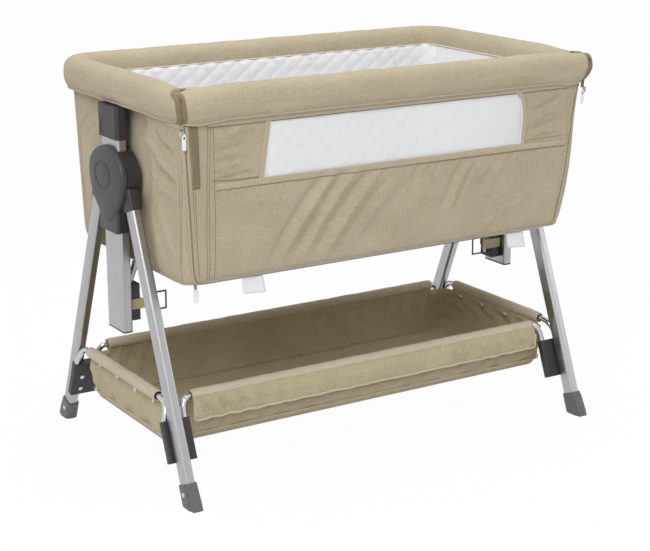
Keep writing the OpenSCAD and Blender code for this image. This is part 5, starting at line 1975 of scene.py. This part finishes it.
@dataclass
class Basket:
    """The fabric basket: shell, rolled hems over the rods, front flap and bindings."""

    floor_half: Pair = (436.0, 160.0)
    top_half: Pair = (448.0, 180.489)
    floor_z: float = 78.0
    top_z: float = 175.0
    corner_z: float = 163.0
    corner: float = 26.0
    hem_radius: float = 11.0
    rod_radius: float = 6.0
    hem_reach: Pair = (402.0, 150.0)
    flap_low: float = 131.0
    neck: float = 161.78
    rod_foot: float = 137.78
    bulge: float = 9.0
    short_x: float = 452.0
    stud_x: float = 446.6
    stud_z: float = 154.0
    stud_y: tuple[float, ...] = (-118.0, -40.0, 40.0, 118.0)
    fillet: float = 9.0
    flap_corner: float = 16.0
    cloth: float = 1.8
    fold_cloth: float = 1.6
    sides: tuple[tuple[str, bool, int], ...] = (
        ("front", True, -1), ("rear", True, 1), ("left", False, -1), ("right", False, 1),
    )
    puckers: tuple[Place, ...] = (
        (-380, 13, 7.0), (-360, 9, -4.5), (-340, 13, 8.0), (-320, 9, -4.5), (-300, 13, 6.0), (-280, 9, -3.5),
        (-260, 13, 5.0), (-222, 14, 4.0), (-180, 16, 3.0), (-60, 14, 3.4), (-40, 10, -2.6), (190, 11, 5.0),
        (208, 9, -3.4), (262, 10, 4.0), (282, 8, -3.0), (302, 10, 4.0), (322, 8, -3.0), (342, 10, 4.0), (364, 9, 3.4),
    )
    marks: tuple[Place, ...] = (
        (-384, 9, 4.0), (-356, 9, -3.0), (-330, 10, 3.4), (-296, 14, 2.6),
        (376, 9, 4.0), (350, 9, -3.0), (322, 12, 3.4), (280, 16, 2.6),
    )

    @property
    def flap_y(self) -> float:
        """How far back the flap's face starts, at the hem."""
        return -(self.top_half[1] + self.hem_radius)

    def belly(self, v: float) -> float:
        """How far the walls bulge at a share of their height."""
        return self.bulge * math.sin(math.pi * min(v + 0.12, 1.0)) ** 0.8

    def outline(self, half: Pair) -> np.ndarray:
        """A rounded oblong of the basket's plan, from the front's left end round the right end.

        Args:
            half: Half its length and width.

        Returns:
            Array (n, 2).
        """
        (hx, hy), r = half, self.corner
        ix, iy, points = hx - r, hy - r, []
        for a, b, count, middle, start in (
            ((-ix, -hy), (ix, -hy), 150, (ix, -iy), -90),
            ((hx, -iy), (hx, iy), 60, (ix, iy), 0),
            ((ix, hy), (-ix, hy), 150, (-ix, iy), 90),
            ((-hx, iy), (-hx, -iy), 60, (-ix, -iy), 180),
        ):
            points += [tuple(mix(np.array(a), np.array(b), t)) for t in np.linspace(0, 1, count)]
            for angle in np.radians(np.linspace(start, start + 90, 12)[1:-1]):
                points.append((middle[0] + r * math.cos(angle), middle[1] + r * math.sin(angle)))
        return np.array(points)

    def floor_rings(self, base: np.ndarray) -> list[np.ndarray]:
        """The floor from its middle to the bend at its edge.

        Args:
            base: The floor's outline.

        Returns:
            Arrays (n, 3) from the inmost out.
        """
        rings = []
        for f in (0.004, 0.12, 0.25, 0.4, 0.55, 0.7, 0.8, 0.88, 0.94):
            x, y = base.T * f
            rings.append(np.column_stack([x, y, self.floor_z + 2.0 * ripple(x, y, 160, 41) * (1 - f) + 1.0]))
        for a in np.radians(np.linspace(0, 75, 6)):
            inset = self.fillet * (1 - math.sin(a))
            x, y = self.outline((self.floor_half[0] - inset, self.floor_half[1] - inset)).T
            rings.append(np.column_stack([x, y, np.full(len(x), self.floor_z + self.fillet * (1 - math.cos(a)))]))
        return rings

    def wall_rings(self, base: np.ndarray) -> list[np.ndarray]:
        """The walls from the floor's bend up to the hems, dipped at the open corners.

        Args:
            base: The floor's outline.

        Returns:
            Arrays (n, 3) from the lowest up.
        """
        top = self.outline(self.top_half)
        wide, deep = np.abs(top).T
        on_long = np.abs(deep - self.top_half[1]) < 0.5
        far = np.where(on_long, wide - self.hem_reach[0], deep - self.hem_reach[1])
        corner = (wide > self.hem_reach[0]) & (deep > self.hem_reach[1])
        high = mix(self.top_z - 4, self.corner_z, np.where(corner, 1.0, smooth(far / 5)))
        along = np.gradient(top, axis=0)
        out = np.stack([along[:, 1], -along[:, 0]], axis=1)
        out /= np.linalg.norm(out, axis=1)[:, None]
        length = np.linalg.norm(np.diff(top, axis=0, prepend=top[:1]), axis=1).cumsum()
        rings = []
        for v in np.linspace(0, 1, 26):
            z = mix(self.floor_z + 8, high, v)
            t = (z - self.floor_z) / (self.top_z - self.floor_z)
            x, y = mix(base, top, t[:, None]).T
            held = smooth(v / 0.15) * smooth((1.02 - v) / 0.2)
            soft = np.where(on_long, 2.2, 4.0) * ripple(length, 1.6 * z, 60, 43) * held + self.belly(v)
            for place, half, depth in self.marks:
                soft = soft - depth * bump(x, place + 26 * (v - 0.5), half) * smooth(v / 0.3) * on_long
            soft = soft * np.where(on_long & (top[:, 1] < 0), 1 - 0.8 * smooth((z - 114) / 18), 1.0)
            rings.append(np.column_stack([x + out[:, 0] * soft, y + out[:, 1] * soft, z]))
        return rings

    def shell(self) -> Object:
        """The floor and the walls up to the hems.

        Returns:
            The shell, without a thickness yet.
        """
        base = self.outline(self.floor_half)
        rings = np.array(self.floor_rings(base) + self.wall_rings(base))
        faces = grid_faces(*rings.shape[:2], ring=True).tolist() + [list(range(rings.shape[1]))[::-1]]
        return mesh_object("basket_shell", rings.reshape(-1, 3), faces, arc_uv(rings))

    def hem(self, name: str, along_x: bool, sign: int) -> Object:
        """A rolled hem over a rod: an open tube with gathers.

        Args:
            name: The piece's name.
            along_x: Whether it is a long side's hem.
            sign: The side's sign.

        Returns:
            The hem.
        """
        reach = self.hem_reach[0 if along_x else 1]
        places, angles = np.linspace(-reach, reach, 170 if along_x else 66), 2 * np.pi * np.arange(28) / 28
        u, a = np.meshgrid(places, angles, indexing="ij")
        ends = smooth((reach - np.abs(u)) / 7)
        r = self.hem_radius * (1 + 0.05 * ripple(u, 14 * np.cos(a) + 9 * np.sin(a), 40, 47 + sign)) - 1.2 * (1 - ends)
        level, off = self.top_z + r * np.sin(a), sign * (self.top_half[1] if along_x else self.short_x) + r * np.cos(a)
        return grid_object(name, np.stack([u, off, level] if along_x else [off, u, level], axis=-1), ring=True)

    def flap(self) -> Object:
        """The flap that hangs over the front from the hem.

        Returns:
            The flap, without a thickness yet.
        """
        reach, r = self.hem_reach[0], self.flap_corner
        straight = np.linspace(r - reach, reach - r, 230)[1:-1]
        u = np.concatenate([np.linspace(-reach, r - reach, 9), straight, np.linspace(reach - r, reach, 9)])
        v = np.linspace(0, 1, 16)[:, None]
        d = np.clip(np.abs(u) - (reach - r), 0, r)
        z = mix(self.top_z, self.flap_low + r - np.sqrt(r * r - d * d), v)
        x = u + 0 * v
        return grid_object("basket_flap", np.stack([x, self.flap_y + self.flap_relief(x, z), z], axis=-1), flip=True)

    def flap_relief(self, x: np.ndarray, z: np.ndarray) -> np.ndarray:
        """How far the flap's face moves in and out where it puckers.

        Args:
            x: Place along the flap.
            z: Height above the floor.

        Returns:
            Distances of the same shape.
        """
        v = (self.top_z - z) / (self.top_z - self.flap_low)
        soft = 1.9 * ripple(x, z, 62, 51) + 0.8 * ripple(x, z, 24, 52)
        for place, half, depth in self.puckers:
            soft = soft + 1.2 * depth * bump(x, place + 22 * (v - 0.4), half) * bump(v, 0.62, 0.7)
        return 1.5 * v - 1.5 + soft * smooth(v / 0.25) - 6.0 * smooth(v / 0.5)

    def rod(self, along_x: bool, sign: int) -> np.ndarray:
        """A rod's line: level under its hem, then bent down into its two holders.

        Args:
            along_x: Whether it is the front or the rear one.
            sign: The side's sign.

        Returns:
            Array (n, 3).
        """
        neck, foot = (leg_point(-30 if along_x else 11, 23.1, z) for z in (self.neck, self.rod_foot))
        y, z, x = -self.top_half[1], self.top_z, self.short_x
        if along_x:
            middle, bend, mirror, turn = (0, y, z), [(402, y, z), (422, y, z), neck], (-1, 1, 1), (1, -sign, 1)
        else:
            middle, bend, mirror, turn = (x, 0, z), [(x, y + 20, z), (x, y - 8, z), neck], (1, -1, 1), (sign, 1, 1)
        half = np.concatenate([[middle], bezier(bend, 20), [foot]])
        return np.concatenate([half[::-1] * np.array(mirror), half[1:]]) * np.array(turn)

    def build(self) -> None:
        """Makes the cloth, the rods, the studs and the stitches."""
        # linen is the basket's lighter copy of the wall linen, painted light for the basket in the bed's shade; hem is
        # the still lighter roll linen, a painted highlight.
        linen, hem, thread, chrome = LIT_BASKET_LINEN.make(), LIT_ROLL_LINEN.make(), THREAD.make(), CHROME.make()
        shell = self.shell()
        face_outwards(shell)
        thicken(shell, self.cloth)
        dress(shell, "stand", linen, ["basket_cloth"])
        # The rolls take the lighter roll linen: painted highlight on their tops.
        for name, along_x, sign in self.sides:
            roll = self.hem(f"hem_{name}", along_x, sign)
            face_outwards(roll)
            thicken(roll, self.fold_cloth)
            dress(roll, "stand", hem)
        flap = self.flap()
        thicken(flap, self.fold_cloth)
        dress(flap, "stand", linen)
        reach, y = self.hem_reach[0], self.flap_y
        low = self.flap_low
        half = [(0.0, y + 0.6, low), (reach - 3, y, low), (reach, y, low + 3), (reach, y, 160.0)]
        edge = [(-a, b, c) for a, b, c in half[:0:-1]] + half
        edge = rounded_path(resample(edge, 6), 1)
        edge[:, 1] = y + self.flap_relief(edge[:, 0], edge[:, 2])
        CORDS.grow("flap_rolled_edge", "stand", "linen", hem, [edge], Radius=2.2)
        for v, name in ((0.05, "low"), (0.18, "high")):
            ring = self.outline(tuple(mix(np.array(self.floor_half), np.array(self.top_half), v)))
            ring = ring + np.sign(ring) * (self.belly(v) if v > 0.1 else 0.6)
            line = np.column_stack([ring, np.full(len(ring), mix(self.floor_z, self.top_z, v))])
            CORDS.grow(f"basket_binding_{name}", "stand", "linen", hem, [line], closed=True, Radius=1.6)
        for name, along_x, sign in self.sides:
            node, line = f"basket_rod_{name}", [self.rod(along_x, sign)]
            CORDS.grow(node + "_bar", "stand", "chromed_rod", chrome, line, replaces=[node], Radius=self.rod_radius)
        spots = np.array([(s * self.stud_x, y, self.stud_z) for s in (-1, 1) for y in self.stud_y])
        facing = np.array([(s, 0.0, 0.16) for s in (-1, 1) for _ in range(4)])
        backs = spots - facing * np.array([3.4, 0.0, 0.0])
        spots, facing = np.concatenate([spots, backs]), np.concatenate([facing, -facing])
        given = {"facing": facing, "replaces": ["basket_snaps"], "Radius": 6.0, "Height": 2.4}
        HEADS.grow("basket_studs", "stand", "bolts", ZINC.make(), [spots], **given)
        level, out = np.linspace(-398, 398, 120), self.top_half[1] + 0.5
        rows = [np.array([(x, sign * out, 159.0) for x in level]) for sign in (-1, 1)]
        row = np.column_stack([np.linspace(-reach + 6, reach - 6, 400), np.zeros(400), np.full(400, 137.0)])
        row[:, 1] = y + self.flap_relief(row[:, 0], row[:, 2]) - 0.5
        rows.append(row)
        STITCHES.grow("basket_stitches", "stand", "linen", thread, rows)


# Metal and moulded pieces


def refined(
    node: str, body: str, material: bpy.types.Material, width: float = 0.6, angle: float = 32.0
) -> Object:
    """A finer copy of a frame node: merged, shaded smooth between its edges, and with its edges rounded.

    Args:
        node: The node that it stands for.
        body: The body that it moves with.
        material: Its finish.
        width: The edges' rounding in millimetres.
        angle: Edges sharper than this stay edges.

    Returns:
        The piece.
    """
    mesh = bpy.data.objects[node].data.copy()
    mesh.name = node + "_part"
    mesh.materials.clear()
    with editing(mesh) as work:
        bmesh.ops.remove_doubles(work, verts=work.verts, dist=WELD)
        bmesh.ops.dissolve_limit(work, angle_limit=math.radians(0.5), verts=work.verts, edges=work.edges)
        bmesh.ops.recalc_face_normals(work, faces=work.faces)
    shade_smooth(mesh, angle)
    obj = linked(mesh.name, mesh)
    if width:
        soften_edges(obj, width, angle)
    return dress(obj, body, material, [node])


def leg_word(end: int, side: Side) -> str:
    """Names a leg, such as front_left. The end is -1 at the front and 1 at the rear."""
    return f"{'rear' if end > 0 else 'front'}_{side.word}"


@dataclass
class Hub:
    """The outer cover of a hub: a domed, egg-shaped face with a shallow oval, a collar and the leg sockets."""

    seam_x: float = 463.3
    face_x: float = 475.5
    dome: float = 4.5
    rim: float = 7.5
    middle_z: float = 566.0
    widest: Pair = (72.0, 566.0)
    top_z: float = 620.0
    low_z: float = 475.0
    oval: Pair = (31.0, 25.0)
    groove: float = 2.0
    collar: tuple[float, float, float, float] = (38.6, 459.0, 530.0, 471.0)
    collar_bend: float = 5.0
    socket_half: Pair = (13.3, 18.3)
    steps: int = 120

    def outline(self) -> np.ndarray:
        """The face's outline round its middle.

        Returns:
            Array (steps, 2) of offsets in Y and Z by even angles.
        """
        half, wide_z = self.widest
        t = np.linspace(0, 1, 200)
        low_y = half * (1 - (1 - t) ** 2.1) ** 0.85
        low_z = mix(self.low_z, wide_z, t)
        a = np.linspace(0, np.pi / 2, 120)
        y = np.concatenate([low_y, half * np.cos(a)])
        z = np.concatenate([low_z, wide_z + (self.top_z - wide_z) * np.sin(a)]) - self.middle_z
        angle = np.arctan2(z, y)
        order = np.argsort(angle)
        wanted = 2 * np.pi * np.arange(self.steps) / self.steps - np.pi / 2
        folded = np.where(wanted > np.pi / 2, np.pi - wanted, wanted)
        reach = np.interp(folded, angle[order], np.hypot(y, z)[order])
        return np.stack([reach * np.cos(wanted), reach * np.sin(wanted)], axis=1)

    def cover(self, side: Side) -> Object:
        """The domed face.

        Args:
            side: Which hub.

        Returns:
            The cover.
        """
        edge = self.outline()
        angle = np.arctan2(edge[:, 1], edge[:, 0])
        inner = np.stack([self.oval[0] * np.cos(angle), self.oval[1] * np.sin(angle)], axis=1)
        long = np.linalg.norm(edge, axis=1)[:, None]
        rings = []
        for f in (0.01, 0.25, 0.5, 0.75, 0.86, 0.91, 0.95, 0.98, 1.0, 1.02, 1.05, 1.09, 1.14):
            dip = self.groove * float(bump(f, 1.0, 0.13))
            rings.append((inner * f, self.face_x + self.dome * (1 - 0.3 * f * f) - dip))
        for t in (0.25, 0.45, 0.65, 0.85, 1.0):
            flat = mix(inner * 1.14, edge * (1 - self.rim / long), t)
            rings.append((flat, self.face_x + self.dome * 0.65 * (1 - t**1.6)))
        for a in np.radians(np.linspace(15, 90, 6)):
            flat = edge * (1 - self.rim * (1 - math.sin(a)) / long)
            rings.append((flat, self.face_x - self.rim * (1 - math.cos(a))))
        rings.append((edge, self.seam_x))
        points = np.array([[(side.value * x, y, z + self.middle_z) for y, z in flat] for flat, x in rings])
        faces = grid_faces(*points.shape[:2], ring=True).tolist()
        faces += [list(range(self.steps)), [(len(rings) - 1) * self.steps + k for k in range(self.steps)]]
        obj = mesh_object(f"hub_face_{side.word}", points.reshape(-1, 3), faces)
        face_outwards(obj)
        shade_smooth(obj.data, 50)
        return obj

    def collar_piece(self, side: Side) -> Object:
        """The collar under the face, that the post slides through.

        Args:
            side: Which hub.

        Returns:
            The collar.
        """
        (half, low, high, x), r, rings = self.collar, self.collar_bend, []
        for z, spread in ((low, -1.5), (low + 1.5, 0.0), (low + 16, 0.2), (high - 14, 0.6), (high, 3.0)):
            reach, plan = half + spread, []
            for y, start in ((r - reach, -90), (reach - r, 0)):
                for a in np.radians(np.linspace(start, start + 90, 7)):
                    plan.append((x - r + r * math.cos(a), y + r * math.sin(a)))
            plan += [(self.seam_x, reach), (self.seam_x, -reach)]
            rings.append([(side.value * px, py, z) for px, py in plan])
        return tube_of_rings(f"hub_collar_{side.word}", np.array(rings), 40)

    def socket(self, end: int, side: Side) -> Object:
        """The socket round a leg's top.

        Args:
            end: -1 for the front leg and 1 for the rear one.
            side: Which hub.

        Returns:
            The socket.
        """
        section = superellipse(36, 5.0) * np.array(self.socket_half)
        rings = np.array([
            [leg_point(x * (1 + grow / 13), y * (1 + grow / 18), z) for x, y in section]
            for z, grow in ((548.0, -1.4), (549.2, -0.2), (551.0, 0.0), (586.0, 0.4))
        ])
        return tube_of_rings(f"leg_socket_{leg_word(end, side)}", rings * np.array([side.value, -end, 1]), 50)

    def build(self) -> None:
        """Makes both hubs' covers."""
        face, dark = HUB_FACE.make(), HUB_DARK.make()
        for side in Side:
            dress(self.cover(side), "stand", face, [f"hub_cover_{side.word}"])
            dress(self.collar_piece(side), "stand", face)
            for end in (-1, 1):
                dress(self.socket(end, side), "stand", dark)


@dataclass
class Stand:
    """The two A-shaped stands: legs, feet, hubs and the brackets that hold the basket's rods."""

    rivet_up: float = 25.0
    lean: float = 22.0

    def foot_details(self) -> None:
        """The rivet in each foot's outer side and the raised panel on its outer face."""
        spots, facing, slope = [], [], math.radians(self.lean)
        for side in Side:
            for end in (-1, 1):
                turn = np.array([side.value, -end, 1])
                spots.append(np.array(leg_point(12.9, 0.0, self.rivet_up)) * turn)
                facing.append(np.array([1.0, 0.0, 0.0]) * turn)
                middle = np.array([leg_point(0.0, -17.8, z) for z in np.linspace(7, 38, 9)]) * turn
                out = np.array([0.0, -math.cos(slope), math.sin(slope)]) * turn
                panel = strip(f"foot_panel_{leg_word(end, side)}", middle, (1.0, 0, 0), out, 13.0, 1.5)
                dress(panel, "stand", FOOT.make())
        HEADS.grow("foot_rivets", "stand", "bolts", ZINC.make(), [spots], np.array(facing), Radius=5.0, Height=1.6)

    def build(self) -> None:
        """Dresses the stand's pieces."""
        metal, foot, dark, bolt = ALUMINIUM.make(), FOOT.make(), HUB_DARK.make(), ZINC.make()
        self.foot_details()
        for end in ("front", "rear"):
            for side in Side:
                refined(f"leg_{end}_{side.word}", "stand", metal, 0.5)
                refined(f"foot_{end}_{side.word}", "stand", foot, 1.6)
                refined(f"basket_holder_{end}_{side.word}", "stand", dark, 1.2)
        for side in Side:
            refined(f"hub_inner_{side.word}", "stand", dark, 1.2)
        refined("hub_screws", "stand", bolt, 0.3)
        refined("basket_bolts", "stand", bolt, 0.4)


def hanging_pull(name: str, top: Sequence[float], wide: float = 8.0, long: float = 31.0) -> Object:
    """A flat white pull with rounded ends and a narrow neck, hanging plumb.

    Args:
        name: The piece's name.
        top: Where its upper end is.
        wide: Its width.
        long: Its length.

    Returns:
        The pull.
    """
    section, rings = superellipse(28, 3.2), []
    for t in np.linspace(0, 1, 34):
        ends = min(t * long, (1 - t) * long) / (0.5 * wide)
        width = wide * math.sqrt(max(1 - max(1 - ends, 0) ** 2, 0.02))
        width *= 0.62 + 0.38 * float(smooth((t - 0.08) / 0.14))
        thick = 2.0 * math.sqrt(max(1 - max(1 - ends * 2, 0) ** 2, 0.08)) * (1 - 0.25 * float(bump(t, 0.62, 0.3)))
        rings.append([(top[0] + x * width / 2, top[1] + y * thick / 2, top[2] - long * t) for x, y in section])
    return tube_of_rings(name, np.array(rings))


def pull_eye(name: str, top: Sequence[float]) -> Object:
    """The dark eye near a pull's top.

    Args:
        name: The piece's name.
        top: Where the pull's upper end is.

    Returns:
        The eye.
    """
    section = superellipse(20, 2.6)
    return tube_of_rings(name, np.array([
        [(top[0] + x * 1.5 * f, top[1] - 0.75 - lift, top[2] - 8.5 + z * 2.4 * f) for x, z in section]
        for f, lift in ((1.0, 0.0), (1.0, 0.3), (0.86, 0.42))
    ]))


@dataclass
class Posts:
    """The posts with their sleeves, locks, lower brackets, tether straps and rings."""

    frame_half: Pair = (418.4, 211.4)
    frame_z: float = 400.0
    frame_bend: float = 40.0
    pull_x: float = 444.0

    def build(self) -> None:
        """Dresses the pieces that move with the bed's height, and the locks and rings."""
        metal, steel, black, white = ALUMINIUM.make(), STEEL.make(), BLACK.make(), WHITE.make()
        for side in Side:
            word = side.word
            refined(f"post_{word}", "bed", metal, 0.6)
            refined(f"sleeve_{word}", "bed", HUB_DARK.make(), 1.5)
            refined(f"lock_button_{word}", f"lock_{word}", black, 0.8)
            refined(f"bed_bracket_{word}", "bed", black, 1.5)
            refined(f"tether_ring_{word}", f"ring_{word}", WIRE.make(), 0.0, 60)
        refined("post_caps", "bed", black, 0.6)
        refined("tether_straps", "bed", WEBBING.make(), 0.3, 60)
        refined("bed_supports", "bed", steel, 0.3)
        plan = oblong(self.frame_half, self.frame_bend, 12)
        line = np.column_stack([plan, np.full(len(plan), self.frame_z)])
        given = {"closed": True, "replaces": ["base_frame"], "Radius": 7.0}
        CORDS.grow("bed_frame_tube", "bed", "steel_tube", steel, [line], **given)
        refined("base_board", "bed", BOARD.make(), 0.6)
        refined("rail_tube", "bed", steel, 0.0)
        refined("front_rail_tube", "front_side", steel, 0.0)
        refined("rail_plugs", "bed", black, 0.4)
        for side in Side:
            word = side.word
            refined(f"zip_slider_{word}", f"zip_{word}", ZINC.make(), 0.5)
            low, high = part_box(f"zip_pull_{word}")
            top = (side.value * self.pull_x, float(low[1]) / MM + 1.0, float(high[2]) / MM)
            pull = hanging_pull(f"pull_tab_{word}", top)
            dress(pull, f"pull_{word}", white, [f"zip_pull_{word}"])
            dress(pull_eye(f"pull_eye_{word}", top), f"pull_{word}", black)


@dataclass
class Labels:
    """Two blank care labels and the small pull under the front edge."""

    places: tuple[Pair, ...] = ((-312.0, -267.0), (298.0, 340.0))
    top: float = 397.0
    drop: float = 31.0
    y: float = -219.5
    spare_pull: Place = (-402.3, -211.5, 387.4)

    def label(self, name: str, x0: float, x1: float) -> Object:
        """One blank label, slightly curled.

        Args:
            name: The piece's name.
            x0: X of its left edge.
            x1: X of its right edge.

        Returns:
            The label, without a thickness yet.
        """
        u, v = np.meshgrid(np.linspace(0, 1, 12), np.linspace(0, 1, 9))
        x, z = mix(x0, x1, u) + 3 * v, self.top - self.drop * v - 2.5 * u
        return grid_object(name, np.stack([x, self.y - 3.5 * v**2 + 1.2 * np.sin(3 * u + 2 * v), z], axis=-1))

    def build(self) -> None:
        """Makes the labels and the small pull."""
        for k, (x0, x1) in enumerate(self.places):
            piece = self.label(f"blank_label_{k + 1}", x0, x1)
            thicken(piece, 0.5)
            dress(piece, "bed", LABEL.make())
        x, y, z = self.spare_pull
        loop = [(x, y + 3.0, z + 12.0), (x, y, z + 4.0), (x + 0.6, y - 0.6, z - 3.0)]
        tab = strip("spare_tape", resample(loop, 2.0), (1.0, 0.0, 0.0), (0.0, -1.0, 0.1), 6.0, 1.0)
        dress(tab, "bed", WEBBING.make())
        pull = hanging_pull("spare_pull", (x + 1.0, y - 0.8, z), 11.0, 26.0)
        dress(pull, "bed", WHITE.make())


# The room


@dataclass
class Studio:
    """The photograph's viewpoint, a plain pale floor and soft light."""

    place: Place = (-1.679, -2.666, 1.193)
    tilt: float = 74.19
    heading: float = -32.29
    lens: float = 88.95
    sensor: float = 36.0
    aim: Place = (0.0, 0.0, 0.45)
    light: float = 0.47
    lamps: tuple[tuple[str, Place, float, float], ...] = (
        ("key", (-2.3, -2.2, 2.9), 74.0, 1.8),
        ("fill", (2.6, -1.6, 1.9), 14.0, 2.0),
        ("top", (0.0, 0.2, 3.2), 34.0, 2.2),
    )

    def camera(self) -> None:
        """Sets the camera where the photograph was taken from."""
        data = bpy.data.cameras.new("camera")
        data.lens, data.sensor_width, data.clip_end = self.lens, self.sensor, 60.0
        camera = linked("camera", data)
        camera.location = self.place
        camera.rotation_euler = (math.radians(self.tilt), 0.0, math.radians(self.heading))
        bpy.context.scene.camera = camera

    def seen(self, tree: Tree) -> Socket:
        """What the camera sees directly, in metal or through glass.

        Args:
            tree: The node tree.

        Returns:
            1 for such a ray and 0 for the rays that light the crib.
        """
        path = add_node(tree, "ShaderNodeLightPath")
        some = maths(tree, "MAXIMUM", path.outputs["Is Camera Ray"], path.outputs["Is Glossy Ray"])
        return maths(tree, "MAXIMUM", some, path.outputs["Is Transmission Ray"])

    def blend(self, tree: Tree, share: Socket, lit: str, shown: str, strength: float, grey: float) -> Socket:
        """A shader that lights the crib in one way and is shown as plain white.

        Args:
            tree: The node tree.
            share: How much of it is the white one.
            lit: The node type that lights.
            shown: The node type that is shown.
            strength: The lighting one's strength, if it has any.
            grey: The lighting one's brightness.

        Returns:
            The shader.
        """
        values = {"Color": (grey, grey, grey, 1), **({"Strength": strength} if strength else {})}
        soft = add_node(tree, lit, values)
        white = add_node(tree, shown, {"Color": (1, 1, 1, 1), "Strength": 1.0})
        return add_node(tree, "ShaderNodeMixShader", {0: share, 1: soft.outputs[0], 2: white.outputs[0]}).outputs[0]

    def world(self) -> None:
        """A white room that lights the crib evenly."""
        world = bpy.data.worlds.new("studio")
        bpy.context.scene.world = world
        tree = own_tree(world)
        node = "ShaderNodeBackground"
        both = self.blend(tree, self.seen(tree), node, node, self.light, 1.0)
        add_node(tree, "ShaderNodeOutputWorld", {"Surface": both})

    def floor(self) -> None:
        """A pale floor that keeps the crib's shadow."""
        mesh = bpy.data.meshes.new("floor")
        mesh.from_pydata([(-30, -30, 0), (30, -30, 0), (30, 30, 0), (-30, 30, 0)], [], [(0, 1, 2, 3)])
        material = bpy.data.materials.new("pale_floor")
        tree = own_tree(material)
        share = maths(tree, "MULTIPLY", self.seen(tree), 0.97)
        both = self.blend(tree, share, "ShaderNodeBsdfDiffuse", "ShaderNodeEmission", 0.0, 0.86)
        add_node(tree, "ShaderNodeOutputMaterial", {"Surface": both})
        mesh.materials.append(material)
        linked("floor", mesh)

    def lamp(self, name: str, place: Place, power: float, size: float) -> None:
        """A square soft lamp that looks at the crib's middle.

        Args:
            name: Its name.
            place: Where it stands, in metres.
            power: In watts.
            size: Its side in metres.
        """
        data = bpy.data.lights.new(name, "AREA")
        data.energy, data.size = power, size
        lamp = linked(name, data)
        lamp.location = place
        lamp.rotation_euler = (Vector(self.aim) - Vector(place)).to_track_quat("-Z", "Y").to_euler()

    def build(self) -> None:
        """Sets up the camera, the room and the lamps."""
        self.camera()
        self.world()
        self.floor()
        for name, place, power, size in self.lamps:
            self.lamp(name, place, power, size)
        bpy.context.scene.view_settings.view_transform = "Standard"


def main() -> None:
    """Builds the crib's sub-assemblies in order."""
    logging.basicConfig(level=logging.INFO, format="%(message)s")
    CORDS.lines()
    STITCHES.stitches()
    HEADS.heads()
    for part in (Studio(), Stand(), Hub(), Posts(), Basket(), Walls(), Interior(), Rail(), Labels()):
        LOG.info("building %s", type(part).__name__)
        part.build()


if __name__ == "__main__":
    main()
